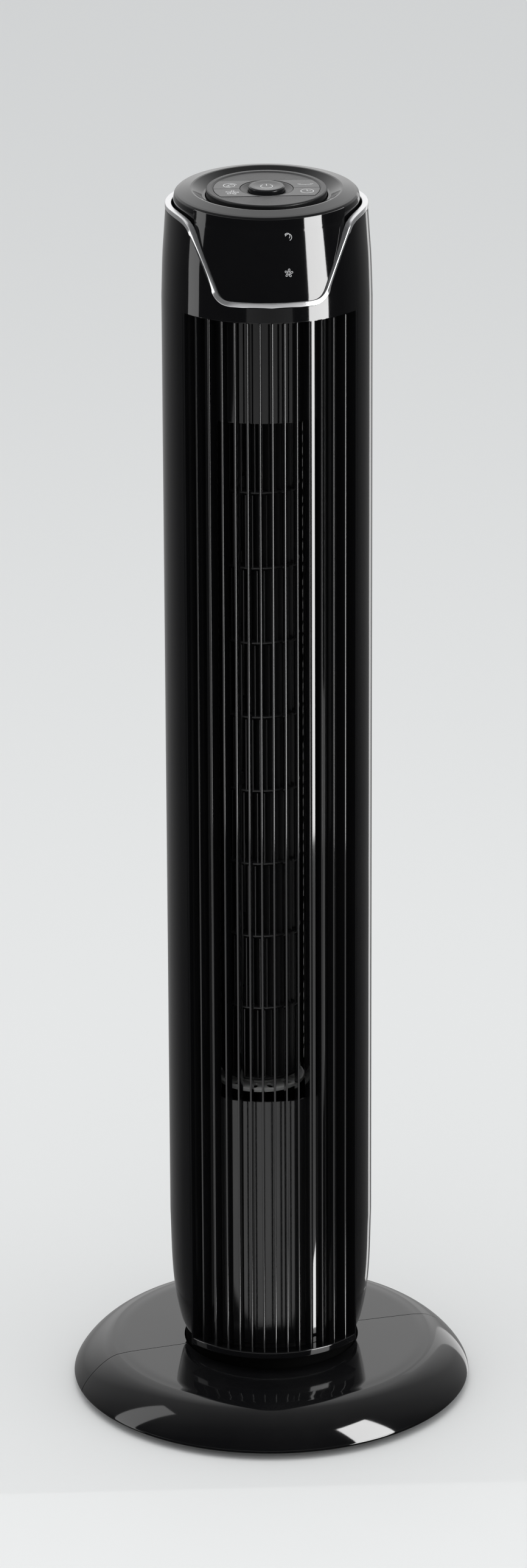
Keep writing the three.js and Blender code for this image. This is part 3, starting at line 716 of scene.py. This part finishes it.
# %% Cord bush
bush_outline = rounded([
    (3.4, 130.5), (6.2, 130.5, 0.3), (6.2, 133, 0.3), (5, 133), (5, 136.2), (4.5, 136.6), (4.5, 137.6),
    (5, 138), (5, 140), (4.5, 140.4), (4.5, 141.4), (5, 141.8), (5, 144, 0.8), (3.4, 144, 0.3),
])
cord_bush = turned("cord_bush_ribbed", bush_outline, steps=48)
cord_bush.data.transform(to_bush @ lie_down)
dress(smoothed(cord_bush), "base", "rubber", "cord_bush")

# %% [markdown]
# ## Feet and hub
# Ten rubber pads sit under the rim. One pad is modelled, a block whose edges are rounded and whose sole is
# inset into a shallow tread, and the other nine are copies turned round the axis. The hub is a turned cup
# that the column stands on: only its wall shows, as a dark ring under the column.

# %% Feet
foot_r = 123
foot_count = 10
first_foot = upright_block("foot_pad", (foot_r, 0, 0.85), (13, 20, 1.7), edge=0.35)
edit_all(first_foot)
bpy.ops.mesh.select_all(action="DESELECT")
bpy.ops.object.mode_set(mode="OBJECT")
for face in first_foot.data.polygons:
    face.select = face.normal.z < -0.9 and face.area > 1e-4
bpy.ops.object.mode_set(mode="EDIT")
bpy.ops.mesh.select_mode(type="FACE")
bpy.ops.mesh.inset(thickness=1.6 * MM, depth=0)
bpy.ops.mesh.inset(thickness=0.4 * MM, depth=-0.4 * MM)
bpy.ops.object.mode_set(mode="OBJECT")
smoothed(first_foot)
for count in range(foot_count):
    turn = Matrix.Rotation(math.radians(-90 + foot_turn + 360 / foot_count * count), 4, "Z")
    foot = copied(first_foot, f"foot_{count + 1}_pad", turn)
    dress(foot, "base", "rubber", f"foot_{count + 1}")
bpy.data.objects.remove(first_foot)

# %% Hub
hub_outline = rounded([
    (8, 23), (63.5, 23), (63.5, 27.1), (74, 27.1), (74, 30.1, 0.4), (63.5, 30.1), (63.5, 43.5, 0.8),
    (59, 43.5, 0.5), (59, 29.7), (12.5, 29.7), (10.5, 31), (10.5, 59, 0.6), (8, 59),
])
hub = smoothed(turned("hub_cup", hub_outline))
# the hub's wall gets the near-black painted shade finish instead of its satin black
dress(hub, "base", "satin_black", "pivot_hub", surface="painted_shade_black")

# %% [markdown]
# ## The column's shells
# The front shell and the rear housing are two half tubes of one section, drawn in a little at the foot and
# at the shoulder. One outline is turned, and the tube is sliced into its halves. The air outlet and the notch
# for the display are carved out with Boolean tools, because their edges follow angles and lines seen from
# the front, which a lathe cannot make. A sheet bent round would need the same cuts.

# %% Outline of the column
body_r = 74.3
body_wall = 2.4
foot_curve = flowing([(64.5, 46), (67.4, 54), (71.2, 74), (73.2, 98), (body_r, 137)], 5)
head_curve = flowing([(body_r, 835), (73.4, 863), (72.2, 881), (71, 898.85)], 5)
body_curve = foot_curve + head_curve
lip_r = body_curve[-1][0]


def body_radius(height):
    """Outer radius of the column at a height, in millimetres."""
    if height >= body_curve[-1][1]:
        return lip_r
    for (r0, z0), (r1, z1) in zip(body_curve, body_curve[1:]):
        if z0 <= height <= z1:
            return r0 + (r1 - r0) * (height - z0) / (z1 - z0)
    return body_curve[0][0]


inner_heights = [898.85, 881, 863, 835, 137, 98, 74, 46]
inner_curve = [(body_radius(height) - body_wall, height) for height in inner_heights]
whole_tube = turned("front_panel", body_curve + inner_curve, steps=FINE)
print("column outline has", len(body_curve), "points")


# %% The line of the trim, seen from the front
def bent(start, control, end, steps):
    return [tuple(Vector(start) * (1 - t) ** 2 + Vector(control) * 2 * t * (1 - t) + Vector(end) * t ** 2)
            for t in [k / steps for k in range(steps + 1)]]


trim_width = 3.7
shoulder_z = 901
dip_z = 847.3
beyond_x, beyond_z = 78, 930  # clear of the column's side and top
fit_gap = 0.12  # between two parts that meet
right_side = (
    [(0, dip_z), (20, dip_z)] + bent((28, dip_z), (35.7, dip_z), (38.8, 855), 8)
    + bent((54, 893), (56.5, 900), (66, shoulder_z), 8)
)
trim_line = [(-x, z) for x, z in reversed(right_side[1:])] + right_side


def beside_trim(offset):
    """The trim's line moved down and out by an offset, as a closed outline with everything above it."""
    line = [(-beyond_x, shoulder_z)] + trim_line + [(beyond_x, shoulder_z)]
    moved_line = []
    for index, point in enumerate(line):
        before = Vector(line[max(index - 1, 0)])
        after = Vector(line[min(index + 1, len(line) - 1)])
        along = (after - before).normalized()
        moved_line.append((point[0] + along.y * offset, point[1] - along.x * offset))
    moved_line += [(beyond_x, beyond_z), (-beyond_x, beyond_z)]
    return [(x, -90, z) for x, z in moved_line]


def above_trim(offset):
    return drawn_out("above_trim", beside_trim(offset), (0, 70, 0))


# %% Front shell
outlet_half_angle = 55.3
outlet_top = 834.9
rear_tube = copied(whole_tube, "rear_panel", Matrix.Identity(4))
front_shell = sliced(whole_tube, (0, 0, 0), (0, 1, 0))
cut_inner, cut_outer = 30, 120  # well inside and outside the wall
outlet_outline = rectangle(cut_inner, cut_outer, 20, outlet_top)
outlet = turned_part("outlet", outlet_outline, -90, outlet_half_angle, 24)
carved(front_shell, outlet)
carved(front_shell, above_trim(trim_width / 2 + fit_gap))
smoothed(front_shell, edge=0.35)
dress(front_shell, "column", "gloss_black", "front_shell")

# %% [markdown]
# ## The intake at the back
# Air enters through a fine lattice in the rear housing: many thin level slats held by upright ribs, with a
# stronger band every so often. The housing gets one large opening, and the lattice is built into it: one slat
# is turned part of the way round and copied upwards, one rib is a rounded bar and copied round the axis.

# %% Rear housing
intake_half_angle = 54
intake_low, intake_high = 228, 794
sliced(rear_tube, (0, 0.35, 0), (0, -1, 0))
window_outline = rectangle(cut_inner, cut_outer, intake_low, intake_high)
carved(rear_tube, turned_part("window", window_outline, 90, intake_half_angle, 24))
screw_places = [(z, 90 + side * 32) for z in (160, 860) for side in (-1, 1)]
for height, angle in screw_places:
    seat = turned("screw_seat", rectangle(0, 4.3, 60, 90), steps=32)
    seat.data.transform(Matrix.Translation((0, 0, height * MM)) @ Matrix.Rotation(math.radians(angle), 4, "Z")
                        @ lie_down)
    carved(rear_tube, seat)
smoothed(rear_tube, edge=0.35)

# %% Lattice
slat_pitch = 9
slat_depth = 2.3
band_every = 7
ribs_each_side = 9
slat_outline = rounded([
    (body_r - slat_depth, -1.5), (body_r, -1.1, 0.5), (body_r, 1.1, 0.5), (body_r - slat_depth, 1.5),
], steps=1)
slat = turned_part("slat", slat_outline, 90, intake_half_angle + 0.6, 30)
lattice = []
slat_count = round((intake_high - intake_low) / slat_pitch)
for count in range(1, slat_count):
    height = intake_low + count * (intake_high - intake_low) / slat_count
    band = 2.0 if count % band_every == 0 else 1.0
    stretch = Matrix.Translation((0, 0, height * MM)) @ Matrix.Diagonal((1, 1, band, 1))
    lattice.append(copied(slat, f"slat_{count}", stretch))
bpy.data.objects.remove(slat)
rib_middle = (intake_low + intake_high) / 2
rib = upright_block("rib", (body_r - 2.1, 0, rib_middle), (2.2, 3.7, intake_high - intake_low + 1), edge=0.4)
rib_pitch = 5.4
for count in range(-ribs_each_side, ribs_each_side + 1):
    turn = Matrix.Rotation(math.radians(90 + count * rib_pitch), 4, "Z")
    lattice.append(copied(rib, f"rib_{count}", turn))
bpy.data.objects.remove(rib)
rear_housing = joined("rear_panel", [rear_tube] + lattice)
smoothed(rear_housing)
dress(rear_housing, "column", "satin_black", "rear_housing")

# %% Housing screws
head_outline = rounded([(0, 72.4), (3.6, 72.4), (3.6, 73, 0.3), (2.6, 73.7, 0.6), (0, 73.9)])
screw_head = turned("screw_head", head_outline, steps=32)
for degrees in (0, 90):
    cross = upright_block("cross", (0, 0, 73.9), (3.6, 0.8, 1.6), edge=0, degrees=degrees)
    carved(screw_head, cross)
smoothed(screw_head, edge=0.08)
for index, (height, angle) in enumerate(screw_places):
    turn = Matrix.Rotation(math.radians(angle), 4, "Z")
    shift = (body_radius(height) - 75.2) * MM
    place = Matrix.Translation((0, 0, height * MM)) @ turn @ Matrix.Translation((shift, 0, 0)) @ lie_down
    head = copied(screw_head, f"housing_screw_head_{index + 1}", place)
    dress(head, "column", "steel", f"housing_screw_{index + 1}")
bpy.data.objects.remove(screw_head)

# %% [markdown]
# ## The front grille
# Thirteen thin upright fins guard the air outlet. They stand at even steps across the front, not at even
# angles, and each points at the axis. One fin is a rounded bar; the copies are turned into place. A lip joins
# them at the foot, a rail at the top, and a narrow plate closes each side of the outlet.

# %% Grille
grille_top = 834.6
fin_inner, fin_outer = 64.5, 73.8
fin_foot = 48
fin_width = 1.5
fins_each_side = 6
fin_size = (fin_outer - fin_inner, fin_width, grille_top - fin_foot)
fin_place = ((fin_inner + fin_outer) / 2, 0, (grille_top + fin_foot) / 2)
fin = upright_block("fin", fin_place, fin_size, edge=0.7)
fin_pitch = 8.76
grille_parts = []
for count in range(-fins_each_side, fins_each_side + 1):
    angle = math.degrees(math.asin(count * fin_pitch / fin_outer)) - 90
    grille_parts.append(copied(fin, f"fin_{count}", Matrix.Rotation(math.radians(angle), 4, "Z")))
bpy.data.objects.remove(fin)
lip_outline = rounded([
    (62.3, 45), (70.5, 45, 1), (body_r, 47.2, 1), (body_r, 52, 0.7), (72.6, 52, 0.4), (72, 50.6),
    (62.3, 50.6),
])
grille_parts.append(turned_part("lip", lip_outline, -90, 55, 80))
rail_outline = rectangle(62, 71.2, grille_top - 1, grille_top + 8)
grille_parts.append(turned_part("rail", rail_outline, -90, 55, 80))
plate_outline = rounded([(62, 46), (body_r, 46, 0.4), (body_r, grille_top, 0.4), (62, grille_top)])
for side in (-1, 1):
    grille_parts.append(turned_part("side_plate", plate_outline, -90 + side * 54.3, 0.7, 2))
grille = joined("front_guard", grille_parts)
smoothed(grille)
dress(grille, "column", "gloss_black", "front_grille")

# %% [markdown]
# ## The chrome trim
# A slim bright band runs round the shoulder and dips in a flat-bottomed V under the display. It is a rounded
# section swept along a line that lies on the column's surface, which a curve with a bevel object does well.
# A Boolean could cut the same band from a tube, but its edges would stay sharp.

# %% Trim
trim_depth = 4.6
trim_radius = [body_radius(z) + 0.25 - trim_depth / 2 for _, z in trim_line]
trim_path = [(x, -math.sqrt(r * r - x * x), z) for (x, z), r in zip(trim_line, trim_radius)]
back_r = trim_radius[-1]
start_angle = math.degrees(math.atan2(trim_path[-1][1], trim_path[-1][0]))
sweep = 180 - 2 * start_angle
for count in range(1, 60):
    angle = math.radians(start_angle + sweep * count / 60)
    trim_path.append((back_r * math.cos(angle), back_r * math.sin(angle), shoulder_z))


def to_curve(piece):
    """Turns a chain of edges into a curve."""
    bpy.ops.mesh.delete(type="ONLY_FACE")
    bpy.ops.object.mode_set(mode="OBJECT")
    only(piece)
    bpy.ops.object.convert(target="CURVE")
    return bpy.context.object


section_points = rounded([
    (-trim_depth / 2, -trim_width / 2, 0.6), (trim_depth / 2, -trim_width / 2, 0.9),
    (trim_depth / 2, trim_width / 2, 0.9), (-trim_depth / 2, trim_width / 2, 0.6),
], steps=3)
section = to_curve(draw_chain("trim_section", [(x, y, 0) for x, y in section_points], closed=True))
section.data.dimensions = "2D"
trim = to_curve(draw_chain("trim_band", trim_path, closed=True))
trim.data.dimensions = "3D"
trim.data.twist_mode = "Z_UP"
trim.data.bevel_mode = "OBJECT"
trim.data.bevel_object = section
only(trim)
bpy.ops.object.convert(target="MESH")
bpy.data.objects.remove(section)
edit_all(trim)
close_up(trim)
smoothed(trim, angle=50)
trim.name = "trim_band"
trim_corners = (trim.bound_box[0], trim.bound_box[6])
print("trim box, mm:", [[round(value / MM, 2) for value in corner] for corner in trim_corners])
dress(trim, "column", "chrome", "chrome_trim")

# %% [markdown]
# ## Display bib and cap
# The bib is a curved piano-black window that leans back from the trim up to the cap's edge. Its outline is
# turned, and the trim's line, two upright planes and the cap's tilted plane cut it to shape. The cap is a
# turned ring with a dished well, tilted a little to the front, so it is turned upright and then tilted.

# %% Bib
cap_z = 912
tilt_angle = math.radians(2.8)
tilt = Matrix.Translation((0, 0, cap_z * MM)) @ Matrix.Rotation(tilt_angle, 4, "X")
cap_up = Vector((0, -math.sin(tilt_angle), math.cos(tilt_angle)))
bib_top = Vector((0, 0, cap_z)) - cap_up * 2.6
bib_half_width = 52
bib_curve = flowing([(73.5, 847), (72.6, 856), (67.2, 893), (66, 899), (65.4, 906), (64.9, 912)], 4)
bib = turned("bib_window", bib_curve + [(r - 2.2, z) for r, z in reversed(bib_curve)], steps=FINE)
sliced(bib, (0, -10, 0), (0, 1, 0))
sliced(bib, bib_top, cap_up)
for side in (-1, 1):
    sliced(bib, (side * bib_half_width, 0, 0), (side, 0, 0))
carved(bib, above_trim(-trim_width / 2 - fit_gap), "INTERSECT")
smoothed(bib, edge=0.2)
dress(bib, "column", "gloss_black", "display_window")

# %% Cap
cap_outline = rounded([
    (65.1, -14), (65.4, -6, 2), (64.7, -3, 1.5), (63.2, -1.6, 1.2), (61.5, -1.1, 1.5), (53.4, 0.7, 1.2),
    (52.2, 0.5, 0.5), (45, -4.6, 1.2), (43.1, -4.6, 0.3), (43.1, -7.4), (47, -7.4), (54, -2.2),
    (61.5, -3.6), (62.8, -6), (62.8, -14),
])
cap = turned("cap_ring", cap_outline, steps=FINE)
cap.data.transform(tilt)
room = turned("bib_room", rectangle(62.9, 80, 870, beyond_z), steps=FINE)
sliced(room, (0, -10, 0), (0, 1, 0))
sliced(room, bib_top + cap_up * fit_gap, cap_up)
for side in (-1, 1):
    sliced(room, (side * (bib_half_width + fit_gap), 0, 0), (side, 0, 0))
carved(cap, room)
smoothed(cap, edge=0.12)
dress(cap, "column", "gloss_black", "top_cap")

# %% [markdown]
# ## The control panel
# A round plate with a broad rounded rim carries a raised power button in a dished ring and four flat buttons,
# two each side. The buttons are one turned ring sliced by planes, and so are the two blank fields in front
# and behind. Slicing one ring keeps every gap even, which separate shapes would not.

# %% Control plate
field_r = 37.3
ring_r = 18.6
key_gap = 0.35
chord = 18
plate_outline = rounded([
    (0, -7), (42.5, -7), (42.5, -0.3, 1.2), (41.5, 0.5, 0.8), (39, 0.5, 0.5), (field_r + 0.3, -0.2, 0.2),
    (field_r + 0.3, -5.4), (ring_r, -5.4), (ring_r, -0.2, 0.2), (17.4, -0.2, 0.3), (13.1, -1.8, 0.3),
    (13.1, -5.4), (0, -5.4),
])
plate = turned("control_plate", plate_outline, steps=160)
blank_outline = rectangle(0, field_r + 0.35, -5.6, -0.2)
blanks = []
for side in (-1, 1):
    blank = turned("blank", blank_outline, steps=160)
    sliced(blank, (0, side * (chord + key_gap), 0), (0, -side, 0))
    hole = turned("blank_hole", rectangle(0, ring_r - 0.1, -8, 2), steps=160)
    carved(blank, hole)
    blanks.append(blank)
plate = joined("control_plate", [plate] + blanks)
smoothed(plate, edge=0.08)
plate.data.transform(tilt)
dress(plate, "column", "satin_black", "control_disc")

# %% Four flat buttons
key_outline = rectangle(ring_r + key_gap, field_r, -3.2, 0)
key_places = {
    "button_mode": (-1, 1), "button_speed": (-1, -1), "button_swing": (1, 1), "button_timer": (1, -1),
}
for name, (side, rear) in key_places.items():
    key = turned(name + "_key", key_outline, steps=160)
    sliced(key, (0, 0, 0), (-side, 0, 0))
    sliced(key, (0, rear * key_gap / 2, 0), (0, -rear, 0))
    sliced(key, (0, rear * chord, 0), (0, rear, 0))
    smoothed(key, edge=0.3)
    key.data.transform(tilt)
    dress(key, name, "button_black", name)

# %% Power button
power_outline = rounded([
    (0, -3.4), (12.7, -3.4), (12.7, 1.2, 0.6), (11.8, 2.1, 0.6), (10.1, 2.1, 0.8), (6, 1.75, 3), (0, 1.7),
])
power = smoothed(turned("button_power_key", power_outline, steps=128))
power.data.transform(tilt)
dress(power, "button_power", "button_black", "button_power")

# %% [markdown]
# ## Printed symbols
# The buttons and the display carry plain printed symbols: power, a clock, a fan, a swing arc and a breeze.
# Each is a few strokes. A stroke is a chain of points turned into a thin round curve, made a mesh and pressed
# nearly flat, so it looks like a thick pad print and needs no image.

# %% Strokes
def stroke(points, width, closed=False):
    """A flat printed line through (x, y) points in millimetres."""
    line = draw_chain("stroke", [(x, y, 0) for x, y in points], closed=closed)
    line = to_curve(line)
    line.data.dimensions = "3D"
    line.data.bevel_depth = width / 2 * MM
    line.data.bevel_resolution = 1
    line.data.use_fill_caps = True
    only(line)
    bpy.ops.object.convert(target="MESH")
    line.data.transform(Matrix.Diagonal((1, 1, 0.12, 1)))
    return line


def circle_points(radius, start=0, end=360, steps=24, centre=(0, 0)):
    return arc(centre, (radius, radius), start, end, steps)


def power_symbol(width):
    return [stroke(circle_points(2.6, 125, 415), width), stroke([(0, 0.6), (0, 3.1)], width)]


def clock_symbol(width):
    return [
        stroke(circle_points(2.8, 0, 345), width, closed=True), stroke([(0, 1.9), (0, 0), (1.6, 0)], width),
    ]


def fan_symbol(width):
    blades = []
    for count in range(5):
        turn = math.radians(72 * count)
        petal = [(0.6, 0), (1.6, 1.0), (2.7, 0.9), (2.9, 0.1), (1.9, -0.3), (0.6, 0)]
        spun = [(x * math.cos(turn) - y * math.sin(turn), x * math.sin(turn) + y * math.cos(turn))
                for x, y in petal]
        blades.append(stroke(spun, width))
    return blades


def swing_symbol(width):
    bow = circle_points(5.0, 235, 305, 12, centre=(0, 4.4))
    return [stroke(bow, width), stroke([(-3.4, 0.9), (-2.9, 0.3), (-2.2, 0.7)], width),
            stroke([(3.4, 0.9), (2.9, 0.3), (2.2, 0.7)], width)]


def breeze_symbol(width):
    curls = []
    for size, turn in ((3.0, 20), (2.0, 200), (1.0, 20)):
        curls.append(stroke(circle_points(size, turn, turn + 250, 18), width))
    return curls


def moon_symbol(width):
    outer = circle_points(2.3, -70, 160, 16)
    inner = circle_points(2.0, 140, -50, 14, centre=(-0.9, 0.9))
    return [stroke(outer + inner, width), stroke([(-2.4, 1.6), (-1.6, 2.4)], width * 0.8)]


# %% Symbols on the buttons
key_top = 0.02
on_keys = {
    "button_power": (power_symbol, (0, -1), 1.75),
    "button_timer": (clock_symbol, (28, -8.1), key_top),
    "button_speed": (fan_symbol, (-24.5, -9.1), key_top),
    "button_swing": (swing_symbol, (27.6, 7.6), key_top),
    "button_mode": (breeze_symbol, (-25.1, 7.4), key_top),
}
key_symbol_scale = 1.6
print_width = 0.36
larger = Matrix.Diagonal((key_symbol_scale, key_symbol_scale, 1, 1))
for name, (draw, (x, y), height) in on_keys.items():
    symbol = joined(name + "_symbol", draw(print_width))
    symbol.data.transform(tilt @ Matrix.Translation((x * MM, y * MM, height * MM)) @ larger)
    dress(smoothed(symbol), name, "pale_plastic", surface="icon_print")


# %% Symbols on the display
def on_bib(x, height):
    """Where a flat print goes on the bib, facing outwards."""
    radius = next(r0 + (r1 - r0) * (height - z0) / (z1 - z0)
                  for (r0, z0), (r1, z1) in zip(bib_curve, bib_curve[1:]) if z0 <= height <= z1)
    turn = Matrix.Rotation(math.asin(x / radius), 4, "Z")
    lean = Matrix.Rotation(math.radians(90 - 8.3), 4, "X")
    return turn @ Matrix.Translation((0, -(radius + 0.03) * MM, height * MM)) @ lean


for name, draw, height in (("moon", moon_symbol, 894), ("breeze_fan", fan_symbol, 869.5)):
    symbol = joined(f"display_{name}", draw(print_width))
    symbol.data.transform(on_bib(11.9, height))
    dress(smoothed(symbol), "column", "pale_plastic", surface="icon_print")

# %% [markdown]
# ## The air duct
# Behind the bars two smooth walls lead the air: the scroll on one side and the short tongue on the other.
# Each turns outwards in front into a face that follows the grille. Two shallow curved panels close the duct
# in front of the bearing above and of the motor below. Each is a line drawn through a few points, drawn up
# to its height and given its thickness by Solidify, which keeps an even wall on any curve.

# %% Duct walls
duct_low, duct_high = 49.4, 842
duct_wall = 1.8
duct_face_r = 61.7


def upright_sheet(name, points, low, high):
    """An upright wall of even thickness through a few points seen from above."""
    line = [(x, y, low) for x, y in flowing(points, 10)]
    return raised_sheet(name, line, high - low, duct_wall)


duct_lines = {
    "scroll_wall": ([(-26, 36.5), (-37.5, 24), (-42.8, 5), (-42.9, -20), (-42.6, -43)], (-52.5, -43.5)),
    "stabiliser_wall": (
        [(58.5, 16.2), (45, 9), (33, 0), (25.5, -8), (27, -22), (27.9, -38), (27.9, -53.8)], (26.5, 52.5),
    ),
}
face_outline = rectangle(duct_face_r - duct_wall, duct_face_r, duct_low, duct_high)
for name, (points, (face_from, face_to)) in duct_lines.items():
    wall = upright_sheet(name + "_sheet", points, duct_low, duct_high)
    middle = (face_from + face_to) / 2 - 90
    face = turned_part(name + "_face", face_outline, middle, (face_to - face_from) / 2, 24)
    wall = joined(name + "_sheet", [wall, face])
    smoothed(wall, edge=0.3)
    dress(wall, "column", "gloss_black", name)

# %% Panels above and below the impeller
panel_line = [(-39.5, -38), (-33, -44.5), (-20, -49.5), (-5, -51.5), (12, -50.6), (17, -49.3), (24.6, -45.6)]
baffle_low = 756
cover_high = 242.5
baffle = smoothed(upright_sheet("baffle_shell", panel_line, baffle_low, duct_high), edge=0.3)
dress(baffle, "column", "gloss_black", "upper_baffle")
cover = smoothed(upright_sheet("motor_cover_shell", panel_line, duct_low, cover_high), edge=0.3)
dress(cover, "column", "gloss_black", "motor_cover", surface="cover_gloss")

# %% Motor's top plate
impeller_at = (-6.5, 4)
seat_low, seat_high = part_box("motor_top_plate")
plate_low = seat_low.z / MM
rim_high = plate_low + 2.6
pan_high = plate_low + 1.9
top_plate_outline = rounded([
    (14.4, plate_low, 0.3), (31.8, plate_low), (31.8, rim_high, 0.6), (30.2, rim_high, 0.3),
    (29.6, pan_high, 0.3), (17.5, pan_high, 0.3), (16.8, rim_high, 0.3), (14.4, rim_high, 0.3),
], steps=2)
top_plate = turned("motor_seat", top_plate_outline, steps=128, centre=impeller_at)
to_impeller = Matrix.Translation((impeller_at[0] * MM, impeller_at[1] * MM, 0))
to_hole_ring = Matrix.Translation((24 * MM, 0, plate_low * MM))
oval = Matrix.Diagonal((1.45, 0.8, 1, 1))
for angle in (-17, 17, 43, 77, 103, 137, 163, 197, 223, 257, 283, 317):
    hole = turned("oval_hole", rectangle(0, 3.2, -6, 6), steps=24)
    turn = Matrix.Rotation(math.radians(angle), 4, "Z")
    hole.data.transform(to_impeller @ turn @ to_hole_ring @ oval)
    carved(top_plate, hole)
smoothed(top_plate, edge=0.12)
dress(top_plate, "column", "pale_plastic", "motor_top_plate")
print("motor seat, mm:", round(seat_low.z / MM, 1), "to", round(seat_high.z / MM, 1))

# %% [markdown]
# ## The impeller
# The cross-flow impeller is a long drum of thin curved blades between flat rings. One blade is an arc drawn
# up and thickened, copied round the axis to make a stage, and the stage is copied up the shaft, each a
# little turned, as on the moulded drums whose stages are welded together.

# %% Impeller
drum_low, drum_step, drum_stages = 248, 56, 9
blade_count = 36
ring_thickness = 1.6
drum_r, drum_inner_r = 29, 20
blade_inner_r, blade_depth, blade_thickness = 20.4, 8.4, 0.7
stage_turn = 3.7
blade_line = []
for count in range(6):
    t = count / 5
    reach = blade_inner_r + blade_depth * t
    swing = math.radians(24 * t - 11 * t * t)
    blade_line.append((reach * math.cos(swing), reach * math.sin(swing), 0))
blade = raised_sheet("blade", blade_line, drum_step - 1, blade_thickness)
blades = [
    copied(blade, "blade_copy", Matrix.Rotation(math.tau * count / blade_count, 4, "Z"))
    for count in range(blade_count)
]
bpy.data.objects.remove(blade)
ring_outline = rounded([
    (drum_inner_r, 0), (drum_r, 0, 0.4), (drum_r, ring_thickness, 0.4), (drum_inner_r, ring_thickness),
], steps=1)
blades.append(turned("stage_ring", ring_outline, steps=72))
stage = joined("stage", blades)
drum = []
for count in range(drum_stages):
    lift = Matrix.Translation((0, 0, (drum_low + count * drum_step) * MM))
    turn = Matrix.Rotation(math.radians(stage_turn * count), 4, "Z")
    drum.append(copied(stage, f"stage_{count}", lift @ turn))
bpy.data.objects.remove(stage)
drum_top = drum_low + drum_step * drum_stages
end_outline = rounded([
    (3.4, drum_low), (drum_r, drum_low, 0.5), (drum_r, drum_low + 2, 0.5), (9, drum_low + 2, 1),
    (7, drum_low + 14, 0.6), (3.4, drum_low + 14),
])
drum.append(turned("lower_end", end_outline, steps=72))
drum.append(turned("upper_end", rounded([
    (3.4, drum_top - 2), (drum_r, drum_top - 2, 0.5), (drum_r, drum_top, 0.5), (3.4, drum_top),
]), steps=72))
impeller = joined("blower_drum", drum)
impeller.data.transform(to_impeller)
smoothed(impeller)
dress(impeller, "impeller", "satin_black", "impeller")
